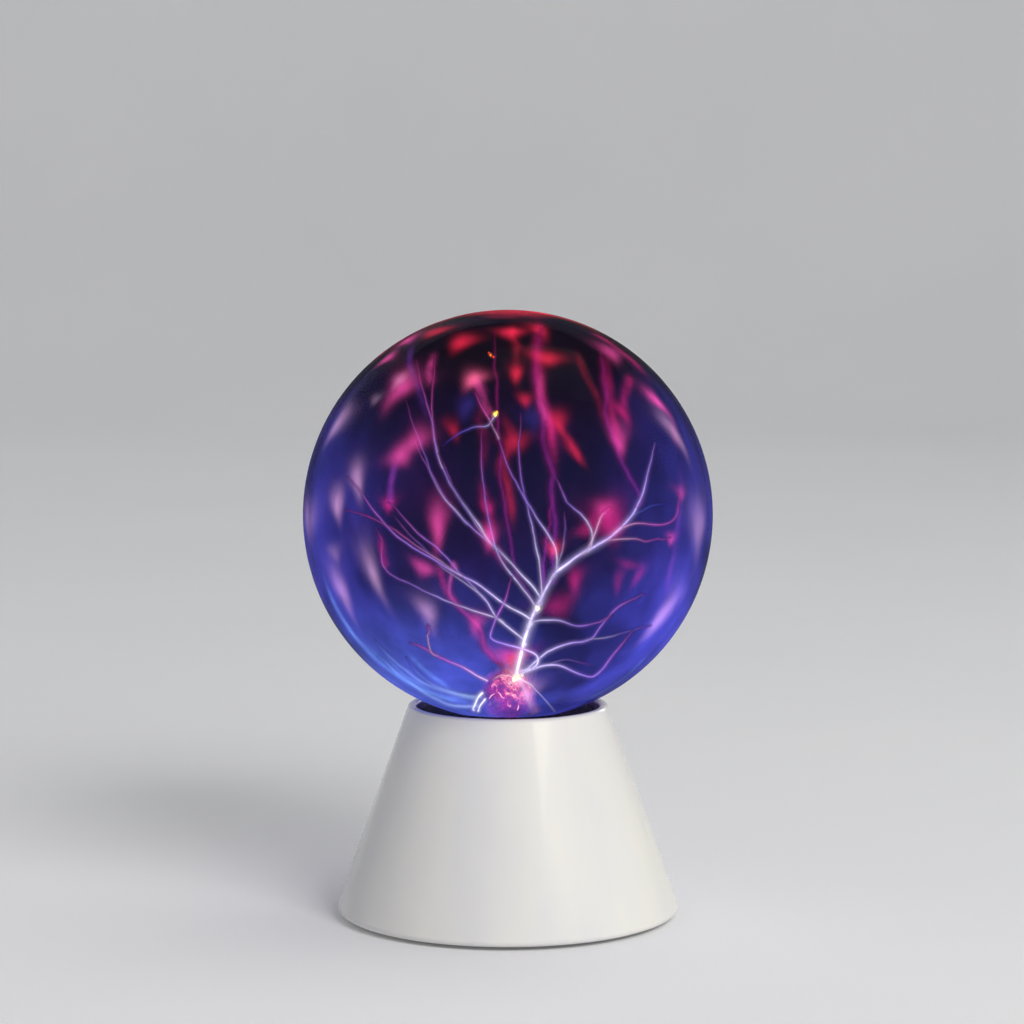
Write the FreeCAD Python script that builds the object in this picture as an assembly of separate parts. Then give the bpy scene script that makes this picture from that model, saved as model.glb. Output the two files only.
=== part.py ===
import FreeCAD, Part

import math
import os

# Plasma ball: a glass globe on a glossy conical base that holds its driver.
# Millimetres, +Z up. The origin is on the table, under the globe's centre.
# The front faces -Y. The inlet and the switch are in a recess at the back.

# Globe and its neck
GLOBE_R = 75.0
GLOBE_GLASS = 1.6
GLOBE_Z = 148.0
NECK_R = 18.0
NECK_FLARE = 4.0
NECK_FOOT_Z = 47.8

# Electrode: a small glass ball on a tube that closes the neck
BULB_R = 10.5
BULB_GLASS = 1.1
BULB_Z = 81.5
STEM_R = 6.0
STEM_FLARE = 3.0
STEM_FLANGE = 1.8
WOOL_GAP = 0.2
WOOL_TAIL_R = 3.8
WOOL_TAIL_Z = 66.0
TIP_X = 11.5
TIP_R = 2.4
TIP_BORE_R = 1.4
TIP_DROP = 8.0
TIP_STRAIGHT = 4.8
TIP_POINT_R = 0.5

# Base shell
FOOT_R = 63.7
RIM_R = 36.45
FOOT_Z = 1.5
RIM_Z = 78.2
WALL = 3.2
RIM_ROUND = 1.4
FOOT_ROUND = 1.8
DECK_Z = 65.0
DECK = 4.0
NECK_HOLE_R = 19.5

# Cushion under the globe
CUSHION_IN_R = 21.3
CUSHION_OUT_R = 34.4
CUSHION_LIP_R = 26.5
CUSHION_TOP_Z = 77.4
CUSHION_SIDE_Z = 72.5
SOFT_GAP = 0.05

# Collar that holds the neck, and its sealant
COLLAR_IN_R = 20.2
COLLAR_WALL = 2.6
COLLAR_FLANGE_R = 31.0
COLLAR_DROP = 12.0
COLLAR_SCREW_R = 27.0
COLLAR_SCREW_ANGLES = (90.0, 210.0, 330.0)
SEALANT_GAP = 0.05
SEALANT_Z = 52.0

# Base plate and what stands on it
PLATE_Z = 2.5
PLATE = 2.5
PLATE_GAP = 0.35
CUP_R = 5.6
CUP_TOP_Z = 8.0
CUP_FLOOR = 2.2
CUP_WALL = 1.8
PLATE_CHAMFER = 0.5
SCREW_PLACE = 36.0
BOSS_R = 4.0
BOSS_TOP_Z = 30.0
STANDOFF_R = 3.2
STANDOFF_X = 25.0
STANDOFF_Y = 33.0
VENT_W = 3.0
VENT_L = 34.0
VENT_PITCH = 8.0
VENTS = 7
PAD_R = 7.0
PAD_PLACE = 47.0
PAD_EDGE = 0.5

# Screws
BASE_SHANK_R = 1.5
BASE_SHANK_L = 16.0
SMALL_SHANK_R = 1.1
SMALL_SHANK_L = 5.4
THREAD_GAP = 0.1
PASS_GAP = 0.2
PILOT_SPARE = 1.0
DECK_PILOT_SPARE = 0.3

# Screw proportions: in shank radii, then in head radii and head heights
HEAD_R_RATIO = 2.0
HEAD_H_RATIO = 1.3
CROSS_W_RATIO = 0.22
CROSS_ARM_RATIO = 0.6
CROSS_FLOOR_RATIO = 0.45
HEAD_ROUND_RATIO = 0.6
SCREW_TIP_RATIO = 0.4

# Recess at the back
POCKET_X = 19.0
POCKET_LOW_Z = 12.0
POCKET_HIGH_Z = 30.0
POCKET_WALL = 2.4
POCKET_ROUND = 2.0
PANEL_Y = 46.0
PANEL = 2.5

# Circuit board
BOARD_X = 30.0
BOARD_FRONT_Y = -38.0
BOARD_BACK_Y = 41.5
BOARD_Z = 13.0
BOARD = 1.6
BOARD_TOP = BOARD_Z + BOARD
BOARD_ROUND = 3.0
PIN_R = 0.35
PIN_HOLE_R = 0.5
PIN_END_Z = BOARD_Z - 1.4

# Inlet
JACK_X = -10.5
JACK_W = 9.0
JACK_H = 11.0
JACK_L = 14.2
JACK_AXIS_Z = BOARD_TOP + 6.5
JACK_BORE_R = 3.15
JACK_BORE_L = 10.0
JACK_PIN_R = 1.0
JACK_PIN_SINK = 0.6
JACK_PIN_ROOT = 2.0
JACK_PIN_ROOT_R = 1.4
JACK_PIN_ROUND = 0.4
JACK_ROUND = 2.0
JACK_FACE_Y = PANEL_Y + 0.3
JACK_GAP = 0.2
BLADE = 0.4
BLADE_W = 2.6
BLADE_GAP = 0.2
BLADE_TOP = 2.0
FLANK_Y = 37.5
LEAF = 0.25
LEAF_W = 1.6
LEAF_LIFT = 0.2
LEAF_BACK = 8.0
LEAF_FRONT = 1.0

# Slide switch
SWITCH_X = 10.5
SWITCH_W = 14.0
SWITCH_H = 8.0
SWITCH_BACK_Y = 36.2
SWITCH_FRONT_Y = 43.2
SHEET = 0.4
SWITCH_TRAVEL = 4.0
SLIDER_W = 6.4
SLIDER_BACK_Y = 38.5
SLIDER_FRONT_Y = 42.4
KNOB_W = 3.2
KNOB_H = 3.6
KNOB_TIP_Y = 49.0
KNOB_Z = BOARD_TOP + 4.2
SLOT_GAP = 0.3
CONTACT_PITCH = 2.6
SWITCH_PLATE = 1.2
STUD_W = 1.2
STUD_BACK = 0.6
STUD_FRONT = 0.3
CONTACT_LEG_W = 0.8
WIPER = 0.5
WIPER_H = 2.0
SLIDER_LIFT = 0.6
GROOVE_W = 0.5
GROOVE_DEPTH = 0.4
GROOVE_PITCH = 0.9

# Transformer
CORE_X = -19.0
CORE_LEG_FRONT_Y = -22.0
CORE_LEG_BACK_Y = 2.0
CORE_W = 8.0
CORE_YOKE = 6.0
CORE_LEG = 8.0
CORE_Z = BOARD_TOP + 1.0
CORE_GAP = 0.1
SECONDARY_R = 10.5
SPOOL_R = 8.4
SPOOL_FLANGE = 1.2
SPOOL_WALL = 0.8
WINDING_R = 7.4
COIL_GAP = 0.15
DRUM_ROUND = 0.8
OUTLET_R = 2.6
OUTLET_ROOT = 8.5
SECONDARY_PINS = (6.5, 5.0)
SPOOL_PINS = (6.5, 3.0)
PIN_SINK = 1.0
SPOOL_PIN_SINK = 0.5
TIE_W = 3.6
TIE_T = 0.7
TIE_Y = -11.1

# Transistor on its heatsink
SINK_X = 20.0
SINK_W = 16.0
SINK_H = 26.0
SINK_FACE_Y = -16.0
SINK_PLATE = 2.5
FIN = 1.2
FIN_DEPTH = 9.0
FIN_PLACES = (-7.4, -4.2, 4.2, 7.4)
TAB_W = 10.0
TAB_T = 1.3
TAB_LOW_Z = 21.0
TAB_H = 15.2
CHIP_H = 9.2
CHIP_T = 4.4
LEG_PITCH = 2.54
LEG_Y = 2.4
TAB_HOLE_Z = 33.4
TAB_HOLE_R = 1.7
TAB_SCREW_R = 1.45
TAB_SCREW_L = 8.0
NUT_R = 3.1
NUT_T = 2.2

# Other components: centre, size
FILTER_AT = (22.0, 22.0)
FILTER_R = 6.3
FILTER_H = 20.0
FILTER_PITCH = 5.0
INPUT_AT = (-24.0, 26.0)
INPUT_R = 4.0
INPUT_H = 11.0
INPUT_PITCH = 3.5
CAN_ROUND = 0.7
CAN_GROOVE_Z = 2.5
CAN_GROOVE_R = 0.8
CAN_GROOVE_OUT = 0.35
CAN_VENT_W = 0.3
CAN_VENT_DEPTH = 0.3
CAN_VENT_RATIO = 0.6
FILM_AT = (0.0, -27.0)
FILM_SIZE = (13.0, 5.0, 11.0)
FILM_PITCH = 10.0
FILM_ROUND = 0.6
RESISTOR_X = 6.0
RESISTOR_YS = (-16.0, -12.0, -8.0, -4.0)
RESISTOR_R = 1.15
RESISTOR_L = 6.2
RESISTOR_SPAN = 10.0
RESISTOR_STAND = 0.2
RESISTOR_CAP = 1.6
RESISTOR_WAIST = 0.85
DRIVER_AT = (2.0, 20.0)
DRIVER_SIZE = (9.8, 6.4, 3.3)
DRIVER_STAND = 0.8
DRIVER_PITCH = 2.54
DRIVER_LEG_Y = 3.81
DRIVER_LEG_W = 0.6
DRIVER_LEG_T = 0.3
DRIVER_LEG_SINK = 0.2
DRIVER_NOTCH_R = 0.9
DRIVER_NOTCH = 0.5

# High-voltage feed
WIRE_R = 0.8
LEAD_R = 1.5
LEAD_TOP_Z = 40.0
BOOT_R = 5.6
BOOT_LOW_Z = 35.0
BOOT_SPIGOT_Z = 50.0
BOOT_GAP = 0.1
BOOT_ROUND = 1.0
LEAD_POINTS = (
    (-19.0, 12.5, 29.0),
    (-19.0, 21.0, 29.0),
    (-10.5, 26.5, 28.0),
    (-2.0, 21.0, 26.5),
    (0.5, 11.0, 24.5),
    (0.0, 3.5, 25.0),
    (0.0, 0.0, 29.0),
    (0.0, 0.0, LEAD_TOP_Z),
)


def vec(x, y, z):
    return FreeCAD.Vector(x, y, z)


UP = vec(0, 0, 1)


def box(x0, x1, y0, y1, z0, z1):
    return Part.makeBox(x1 - x0, y1 - y0, z1 - z0, vec(x0, y0, z0))


def cylinder(radius, z0, z1, x=0.0, y=0.0):
    return Part.makeCylinder(radius, z1 - z0, vec(x, y, z0), UP)


def rod_along_y(radius, y0, y1, x, z):
    return Part.makeCylinder(radius, y1 - y0, vec(x, y0, z), vec(0, 1, 0))


def ring(outer, inner, z0, z1):
    return cylinder(outer, z0, z1).cut(cylinder(inner, z0, z1))


def join(shapes):
    return shapes[0].fuse(shapes[1:]).removeSplitter()


def lathe(edges):
    """Solid of a closed outline in the XZ plane, turned about the Z axis."""
    outline = Part.Wire(Part.__sortEdges__(edges))
    return Part.Face(outline).revolve(vec(0, 0, 0), UP, 360)


def lathe_polygon(points):
    corners = [vec(x, 0, z) for x, z in points]
    return Part.Face(Part.makePolygon(corners + corners[:1])).revolve(vec(0, 0, 0), UP, 360)


def circles_at(shape, z):
    """Round edges of a shape that lie level at height z."""
    round_edges = [e for e in shape.Edges if isinstance(e.Curve, Part.Circle)]
    return [e for e in round_edges if abs(e.Curve.Center.z - z) < 0.001]


def upright_edges(shape):
    """Straight edges of a shape that run along Z."""
    lines = [e for e in shape.Edges if isinstance(e.Curve, Part.Line)]
    return [e for e in lines if abs(e.Curve.Direction.z) > 0.999]


def four_places(x, y):
    return [(sx * x, sy * y) for sx in (-1, 1) for sy in (-1, 1)]


def around(radius, angles):
    turns = [math.radians(a) for a in angles]
    return [(radius * math.cos(t), radius * math.sin(t)) for t in turns]


def board_pins(places, top_z):
    return [cylinder(PIN_R, PIN_END_Z, top_z, x, y) for x, y in places]


def screw(shank_r, shank_l, x, y, seat_z, up):
    """Pan-head screw with a cross recess; its head sits against seat_z."""
    head_r = HEAD_R_RATIO * shank_r
    head_h = HEAD_H_RATIO * shank_r
    slot = CROSS_W_RATIO * shank_r
    head = cylinder(head_r, 0, head_h)
    head = head.makeFillet(HEAD_ROUND_RATIO * head_h, circles_at(head, head_h))
    arm = CROSS_ARM_RATIO * head_r
    deep = CROSS_FLOOR_RATIO * head_h
    cross = [box(-arm, arm, -slot, slot, deep, head_h), box(-slot, slot, -arm, arm, deep, head_h)]
    point_r = SCREW_TIP_RATIO * shank_r
    tip = Part.makeCone(shank_r, point_r, shank_r, vec(0, 0, -shank_l + shank_r), vec(0, 0, -1))
    shape = join([head.cut(cross), cylinder(shank_r, -shank_l + shank_r, 0), tip])
    if up:
        shape.rotate(vec(0, 0, 0), vec(1, 0, 0), 180)
    shape.translate(vec(x, y, seat_z))
    return shape


def vessel(radius, centre_z, neck_r, flare, foot_z):
    """Solid ball with a neck below it that flares into the ball, down to foot_z."""
    flare_x = neck_r + flare
    drop = math.sqrt((radius + flare) ** 2 - flare_x ** 2)
    flare_z = centre_z - drop
    lean = math.atan2(-drop, flare_x)
    middle = math.pi + lean / 2
    pole = vec(0, 0, centre_z + radius)
    side = vec(radius, 0, centre_z)
    waist = vec(radius * math.cos(lean), 0, centre_z + radius * math.sin(lean))
    bend = vec(flare_x + flare * math.cos(middle), 0, flare_z + flare * math.sin(middle))
    throat = vec(neck_r, 0, flare_z)
    foot = vec(neck_r, 0, foot_z)
    axis_foot = vec(0, 0, foot_z)
    edges = [
        Part.Arc(pole, side, waist).toShape(),
        Part.Arc(waist, bend, throat).toShape(),
        Part.LineSegment(throat, foot).toShape(),
        Part.LineSegment(foot, axis_foot).toShape(),
        Part.LineSegment(axis_foot, pole).toShape(),
    ]
    return lathe(edges)


def blown_glass(radius, centre_z, neck_r, flare, foot_z, glass):
    """Ball and neck of even glass, open at the foot."""
    outside = vessel(radius, centre_z, neck_r, flare, foot_z)
    inside = vessel(radius - glass, centre_z, neck_r - glass, flare + glass, foot_z - 1)
    return outside.cut(inside)


def globe():
    return blown_glass(GLOBE_R, GLOBE_Z, NECK_R, NECK_FLARE, NECK_FOOT_Z, GLOBE_GLASS)


def electrode_bulb():
    """Small ball and tube inside the neck, with the disc that closes the neck's foot."""
    low = NECK_FOOT_Z - STEM_FLANGE
    ball = blown_glass(BULB_R, BULB_Z, STEM_R, STEM_FLARE, low, BULB_GLASS)
    disc = ring(NECK_R, STEM_R - BULB_GLASS, low, NECK_FOOT_Z)
    return join([ball, disc]).cut(cylinder(TIP_BORE_R, low, NECK_FOOT_Z, TIP_X))


def exhaust_tip():
    """Tube the globe was filled through, drawn to a closed point."""
    top = NECK_FOOT_Z - STEM_FLANGE
    low = top - TIP_STRAIGHT
    tube = cylinder(TIP_R, low, top, TIP_X)
    point = Part.makeCone(TIP_R, TIP_POINT_R, TIP_DROP - TIP_STRAIGHT, vec(TIP_X, 0, low), vec(0, 0, -1))
    return join([tube, point]).cut(cylinder(TIP_BORE_R, low, top, TIP_X))


def electrode_wool():
    ball = Part.makeSphere(BULB_R - BULB_GLASS - WOOL_GAP, vec(0, 0, BULB_Z))
    return join([ball, cylinder(WOOL_TAIL_R, WOOL_TAIL_Z, BULB_Z)])


def electrode_wire():
    return cylinder(WIRE_R, LEAD_TOP_Z, WOOL_TAIL_Z)


def electrode_boot():
    """Soft stopper in the tube's mouth, round the lead and the wire."""
    mouth = NECK_FOOT_Z - STEM_FLANGE
    cap = cylinder(BOOT_R, BOOT_LOW_Z, mouth)
    cap = cap.makeFillet(BOOT_ROUND, circles_at(cap, BOOT_LOW_Z))
    spigot = cylinder(STEM_R - BULB_GLASS - BOOT_GAP, mouth, BOOT_SPIGOT_Z)
    lead_way = cylinder(LEAD_R + SOFT_GAP, BOOT_LOW_Z, LEAD_TOP_Z)
    wire_way = cylinder(WIRE_R + SOFT_GAP, LEAD_TOP_Z, BOOT_SPIGOT_Z)
    return join([cap, spigot]).cut([lead_way, wire_way])


def cone_radius(z, inset=0.0):
    """Radius of the base's slanting side at height z, or of a surface set in squarely from it."""
    slope = (FOOT_R - RIM_R) / (RIM_Z - FOOT_Z)
    return FOOT_R - slope * (z - FOOT_Z) - inset * math.hypot(1.0, slope)


def cone(z0, z1, inset=0.0):
    return Part.makeCone(cone_radius(z0, inset), cone_radius(z1, inset), z1 - z0, vec(0, 0, z0))


def base_shell():
    hollow = cone(FOOT_Z - 1, DECK_Z, WALL)
    well = cone(DECK_Z + DECK, RIM_Z + 1, WALL)
    neck_hole = cylinder(NECK_HOLE_R, DECK_Z, DECK_Z + DECK)
    shell = cone(FOOT_Z, RIM_Z).cut([hollow, well, neck_hole])
    shell = shell.makeFillet(RIM_ROUND, circles_at(shell, RIM_Z))
    foot = [e for e in circles_at(shell, FOOT_Z) if e.Curve.Radius > FOOT_R - 0.1]
    shell = shell.makeFillet(FOOT_ROUND, foot)
    return add_pocket(add_bosses(shell))


def add_bosses(shell):
    """Posts for the base plate's screws, and blind holes under the deck for the collar's."""
    wall_side = cone(CUP_TOP_Z, BOSS_TOP_Z, WALL / 2)
    places = four_places(SCREW_PLACE, SCREW_PLACE)
    posts = [cylinder(BOSS_R, CUP_TOP_Z, BOSS_TOP_Z, x, y).common(wall_side) for x, y in places]
    base_depth = BASE_SHANK_L - CUP_FLOOR + PILOT_SPARE
    base_pilot = BASE_SHANK_R + THREAD_GAP
    holes = [cylinder(base_pilot, CUP_TOP_Z, CUP_TOP_Z + base_depth, x, y) for x, y in places]
    deck_depth = SMALL_SHANK_L - COLLAR_WALL + DECK_PILOT_SPARE
    for x, y in around(COLLAR_SCREW_R, COLLAR_SCREW_ANGLES):
        holes.append(cylinder(SMALL_SHANK_R + THREAD_GAP, DECK_Z, DECK_Z + deck_depth, x, y))
    return join([shell] + posts).cut(holes)


def add_pocket(shell):
    """Recess with an upright back panel, which the inlet and the switch look out of."""
    outer_x = POCKET_X + POCKET_WALL
    low = POCKET_LOW_Z - POCKET_WALL
    high = POCKET_HIGH_Z + POCKET_WALL
    liner = box(-outer_x, outer_x, PANEL_Y - PANEL, FOOT_R, low, high).common(cone(FOOT_Z, RIM_Z))
    room = box(-POCKET_X, POCKET_X, PANEL_Y, FOOT_R + 1, POCKET_LOW_Z, POCKET_HIGH_Z)
    room = room.makeFillet(POCKET_ROUND, upright_edges(room))
    jack_x0 = JACK_X - JACK_W / 2 - JACK_GAP
    jack_x1 = JACK_X + JACK_W / 2 + JACK_GAP
    jack_top = BOARD_TOP + JACK_H + JACK_GAP
    jack_hole = box(jack_x0, jack_x1, PANEL_Y - PANEL, PANEL_Y, BOARD_TOP - JACK_GAP, jack_top)
    slot_x0, slot_x1, slot_z0, slot_z1 = slot_box(2 * SLOT_GAP)
    slot = box(slot_x0, slot_x1, PANEL_Y - PANEL, PANEL_Y, slot_z0, slot_z1)
    return join([shell, liner]).cut([room, jack_hole, slot])


def slot_box(gap):
    """Opening the switch's knob needs over its whole travel: x0, x1, z0, z1."""
    rest_x = SWITCH_X + SWITCH_TRAVEL / 2
    x0 = rest_x - SWITCH_TRAVEL - KNOB_W / 2 - gap
    x1 = rest_x + KNOB_W / 2 + gap
    return x0, x1, KNOB_Z - KNOB_H / 2 - gap, KNOB_Z + KNOB_H / 2 + gap


def globe_cushion():
    """Foam ring between the deck and the globe."""
    deck_top = DECK_Z + DECK
    outline = [
        (CUSHION_IN_R, deck_top),
        (CUSHION_OUT_R, deck_top),
        (CUSHION_OUT_R - 0.5, CUSHION_SIDE_Z),
        (CUSHION_LIP_R, CUSHION_TOP_Z),
        (CUSHION_IN_R, CUSHION_TOP_Z),
    ]
    return lathe_polygon(outline).cut(Part.makeSphere(GLOBE_R + SOFT_GAP, vec(0, 0, GLOBE_Z)))


def neck_collar():
    flange_z = DECK_Z - COLLAR_WALL
    flange = ring(COLLAR_FLANGE_R, COLLAR_IN_R, flange_z, DECK_Z)
    sleeve = ring(COLLAR_IN_R + COLLAR_WALL, COLLAR_IN_R, flange_z - COLLAR_DROP, flange_z)
    places = around(COLLAR_SCREW_R, COLLAR_SCREW_ANGLES)
    holes = [cylinder(SMALL_SHANK_R + PASS_GAP, flange_z, DECK_Z, x, y) for x, y in places]
    return join([flange, sleeve]).cut(holes)


def neck_sealant():
    return ring(COLLAR_IN_R - SEALANT_GAP, NECK_R + SEALANT_GAP, SEALANT_Z, DECK_Z)


def collar_screws():
    seat = DECK_Z - COLLAR_WALL
    places = around(COLLAR_SCREW_R, COLLAR_SCREW_ANGLES)
    return Part.makeCompound([screw(SMALL_SHANK_R, SMALL_SHANK_L, x, y, seat, True) for x, y in places])


def vent(x):
    """Slot with round ends through the base plate."""
    half = (VENT_L - VENT_W) / 2
    top = PLATE_Z + PLATE
    ends = [cylinder(VENT_W / 2, PLATE_Z, top, x, y) for y in (-half, half)]
    return join([box(x - VENT_W / 2, x + VENT_W / 2, -half, half, PLATE_Z, top)] + ends)


def base_plate():
    top = PLATE_Z + PLATE
    disc = cylinder(cone_radius(top, WALL) - PLATE_GAP, PLATE_Z, top)
    disc = disc.makeChamfer(PLATE_CHAMFER, circles_at(disc, PLATE_Z))
    screw_places = four_places(SCREW_PLACE, SCREW_PLACE)
    cups = [cylinder(CUP_R, PLATE_Z, CUP_TOP_Z, x, y) for x, y in screw_places]
    board_places = four_places(STANDOFF_X, STANDOFF_Y)
    posts = [cylinder(STANDOFF_R, top, BOARD_Z, x, y) for x, y in board_places]
    wells = [cylinder(CUP_R - CUP_WALL, PLATE_Z, CUP_TOP_Z - CUP_FLOOR, x, y) for x, y in screw_places]
    ways = [cylinder(BASE_SHANK_R + PASS_GAP, PLATE_Z, CUP_TOP_Z, x, y) for x, y in screw_places]
    pilot_r = SMALL_SHANK_R + THREAD_GAP
    pilots = [cylinder(pilot_r, top + PILOT_SPARE, BOARD_Z, x, y) for x, y in board_places]
    vents = [vent((i - (VENTS - 1) / 2) * VENT_PITCH) for i in range(VENTS)]
    return join([disc] + cups + posts).cut(wells + ways + pilots + vents)


def base_screws():
    seat = CUP_TOP_Z - CUP_FLOOR
    places = four_places(SCREW_PLACE, SCREW_PLACE)
    return Part.makeCompound([screw(BASE_SHANK_R, BASE_SHANK_L, x, y, seat, True) for x, y in places])


def foot(x, y):
    pad = cylinder(PAD_R, 0, PLATE_Z, x, y)
    return pad.makeFillet(PAD_EDGE, circles_at(pad, 0))


def board_screws():
    places = four_places(STANDOFF_X, STANDOFF_Y)
    length = SMALL_SHANK_L + PILOT_SPARE
    screws = [screw(SMALL_SHANK_R, length, x, y, BOARD_TOP, False) for x, y in places]
    return Part.makeCompound(screws)


def capacitor_pins(at, pitch):
    return [(at[0] + side * pitch / 2, at[1]) for side in (-1, 1)]


def resistor_pins():
    half = RESISTOR_SPAN / 2
    return [(RESISTOR_X + side * half, y) for y in RESISTOR_YS for side in (-1, 1)]


def driver_pins():
    along = [(i - 1.5) * DRIVER_PITCH for i in range(4)]
    return [(DRIVER_AT[0] + dx, DRIVER_AT[1] + side * DRIVER_LEG_Y) for dx in along for side in (-1, 1)]


def secondary_pins():
    return [(CORE_X + dx, CORE_LEG_BACK_Y + dy) for dx, dy in four_places(*SECONDARY_PINS)]


def spool_pins():
    return [(CORE_X + dx, CORE_LEG_FRONT_Y + dy) for dx, dy in four_places(*SPOOL_PINS)]


def transistor_pins():
    return [(SINK_X + i * LEG_PITCH, SINK_FACE_Y + LEG_Y) for i in (-1, 0, 1)]


def blade_slots():
    """Openings in the board for the inlet's blades and the switch's legs."""
    back = JACK_FACE_Y - JACK_L
    side = JACK_X - JACK_W / 2
    half = BLADE_W / 2 + BLADE_GAP
    slots = [
        box(JACK_X - half, JACK_X + half, back - BLADE - BLADE_GAP, back + BLADE_GAP, BOARD_Z, BOARD_TOP),
        box(side - BLADE - BLADE_GAP, side + BLADE_GAP, FLANK_Y - half, FLANK_Y + half, BOARD_Z, BOARD_TOP),
    ]
    half = CONTACT_LEG_W / 2 + BLADE_GAP
    y0 = SWITCH_BACK_Y - STUD_BACK - BLADE_GAP
    y1 = SWITCH_BACK_Y - STUD_BACK + BLADE + BLADE_GAP
    for x in contact_xs():
        slots.append(box(x - half, x + half, y0, y1, BOARD_Z, BOARD_TOP))
    return slots


def circuit_board():
    board = box(-BOARD_X, BOARD_X, BOARD_FRONT_Y, BOARD_BACK_Y, BOARD_Z, BOARD_TOP)
    board = board.makeFillet(BOARD_ROUND, upright_edges(board))
    pins = capacitor_pins(FILTER_AT, FILTER_PITCH) + capacitor_pins(INPUT_AT, INPUT_PITCH)
    pins += capacitor_pins(FILM_AT, FILM_PITCH) + resistor_pins() + driver_pins()
    pins += secondary_pins() + spool_pins() + transistor_pins()
    holes = [cylinder(PIN_HOLE_R, BOARD_Z, BOARD_TOP, x, y) for x, y in pins]
    for x, y in four_places(STANDOFF_X, STANDOFF_Y):
        holes.append(cylinder(SMALL_SHANK_R + PASS_GAP, BOARD_Z, BOARD_TOP, x, y))
    return board.cut(holes + blade_slots())


def core_half(yoke_z, leg_z):
    """U-shaped ferrite: a yoke with a leg at each end."""
    x0 = CORE_X - CORE_W / 2
    x1 = CORE_X + CORE_W / 2
    y0 = CORE_LEG_FRONT_Y - CORE_W / 2
    y1 = CORE_LEG_BACK_Y + CORE_W / 2
    yoke = box(x0, x1, y0, y1, yoke_z, yoke_z + CORE_YOKE)
    legs = [box(x0, x1, y0, y0 + CORE_W, leg_z, leg_z + CORE_LEG)]
    legs.append(box(x0, x1, y1 - CORE_W, y1, leg_z, leg_z + CORE_LEG))
    return join([yoke] + legs)


def core_lower():
    return core_half(CORE_Z, CORE_Z + CORE_YOKE)


def core_upper():
    leg_z = CORE_Z + CORE_YOKE + CORE_LEG + CORE_GAP
    return core_half(leg_z + CORE_LEG, leg_z)


def coil_span():
    """Lowest and highest heights of a coil between the two yokes."""
    low = CORE_Z + CORE_YOKE
    return low + COIL_GAP, low + 2 * CORE_LEG + CORE_GAP - COIL_GAP


def core_tie():
    """Strap round both yokes, in the window between the coils."""
    x0 = CORE_X - CORE_W / 2
    x1 = CORE_X + CORE_W / 2
    z1 = CORE_Z + 2 * (CORE_YOKE + CORE_LEG) + CORE_GAP
    y0 = TIE_Y - TIE_W / 2
    y1 = TIE_Y + TIE_W / 2
    outer = box(x0 - TIE_T, x1 + TIE_T, y0, y1, CORE_Z - TIE_T, z1 + TIE_T)
    return outer.cut(box(x0, x1, y0, y1, CORE_Z, z1))


def leg_hole(y, z0, z1):
    half = CORE_W / 2 + COIL_GAP
    return box(CORE_X - half, CORE_X + half, y - half, y + half, z0, z1)


def secondary_winding():
    """High-voltage coil, potted in a drum round the rear leg."""
    low, high = coil_span()
    drum = cylinder(SECONDARY_R, low, high, CORE_X, CORE_LEG_BACK_Y)
    drum = drum.makeFillet(DRUM_ROUND, circles_at(drum, low) + circles_at(drum, high))
    drum = drum.cut(leg_hole(CORE_LEG_BACK_Y, low, high))
    outlet_y = LEAD_POINTS[0][1]
    outlet = rod_along_y(OUTLET_R, CORE_LEG_BACK_Y + OUTLET_ROOT, outlet_y, CORE_X, LEAD_POINTS[0][2])
    return join([drum, outlet] + board_pins(secondary_pins(), low + PIN_SINK))


def primary_spool():
    low, high = coil_span()
    y = CORE_LEG_FRONT_Y
    flanges = [cylinder(SPOOL_R, z, z + SPOOL_FLANGE, CORE_X, y) for z in (low, high - SPOOL_FLANGE)]
    half = CORE_W / 2 + COIL_GAP + SPOOL_WALL
    tube = box(CORE_X - half, CORE_X + half, y - half, y + half, low, high)
    pins = board_pins(spool_pins(), low + SPOOL_PIN_SINK)
    return join(flanges + [tube]).cut(leg_hole(y, low, high)).fuse(pins).removeSplitter()


def primary_winding():
    """Copper coil round the spool's tube."""
    low, high = coil_span()
    z0 = low + SPOOL_FLANGE + COIL_GAP
    z1 = high - SPOOL_FLANGE - COIL_GAP
    half = CORE_W / 2 + 2 * COIL_GAP + SPOOL_WALL
    y = CORE_LEG_FRONT_Y
    core = box(CORE_X - half, CORE_X + half, y - half, y + half, z0, z1)
    return cylinder(WINDING_R, z0, z1, CORE_X, y).cut(core)


def heatsink():
    x0 = SINK_X - SINK_W / 2
    x1 = SINK_X + SINK_W / 2
    top = BOARD_TOP + SINK_H
    plate = box(x0, x1, SINK_FACE_Y - SINK_PLATE, SINK_FACE_Y, BOARD_TOP, top)
    back = SINK_FACE_Y - SINK_PLATE - FIN_DEPTH
    fins = []
    for place in FIN_PLACES:
        x = SINK_X + place
        fins.append(box(x - FIN / 2, x + FIN / 2, back, SINK_FACE_Y - SINK_PLATE, BOARD_TOP, top))
    hole = rod_along_y(TAB_HOLE_R, SINK_FACE_Y - SINK_PLATE, SINK_FACE_Y, SINK_X, TAB_HOLE_Z)
    return join([plate] + fins).cut(hole)


def power_transistor():
    """Moulded body on a metal tab, with three legs into the board."""
    x0 = SINK_X - TAB_W / 2
    x1 = SINK_X + TAB_W / 2
    tab = box(x0, x1, SINK_FACE_Y, SINK_FACE_Y + TAB_T, TAB_LOW_Z, TAB_LOW_Z + TAB_H)
    hole = rod_along_y(TAB_HOLE_R, SINK_FACE_Y, SINK_FACE_Y + TAB_T, SINK_X, TAB_HOLE_Z)
    body = box(x0, x1, SINK_FACE_Y, SINK_FACE_Y + CHIP_T, TAB_LOW_Z, TAB_LOW_Z + CHIP_H)
    return join([tab.cut(hole), body] + board_pins(transistor_pins(), TAB_LOW_Z + PIN_SINK))


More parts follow.
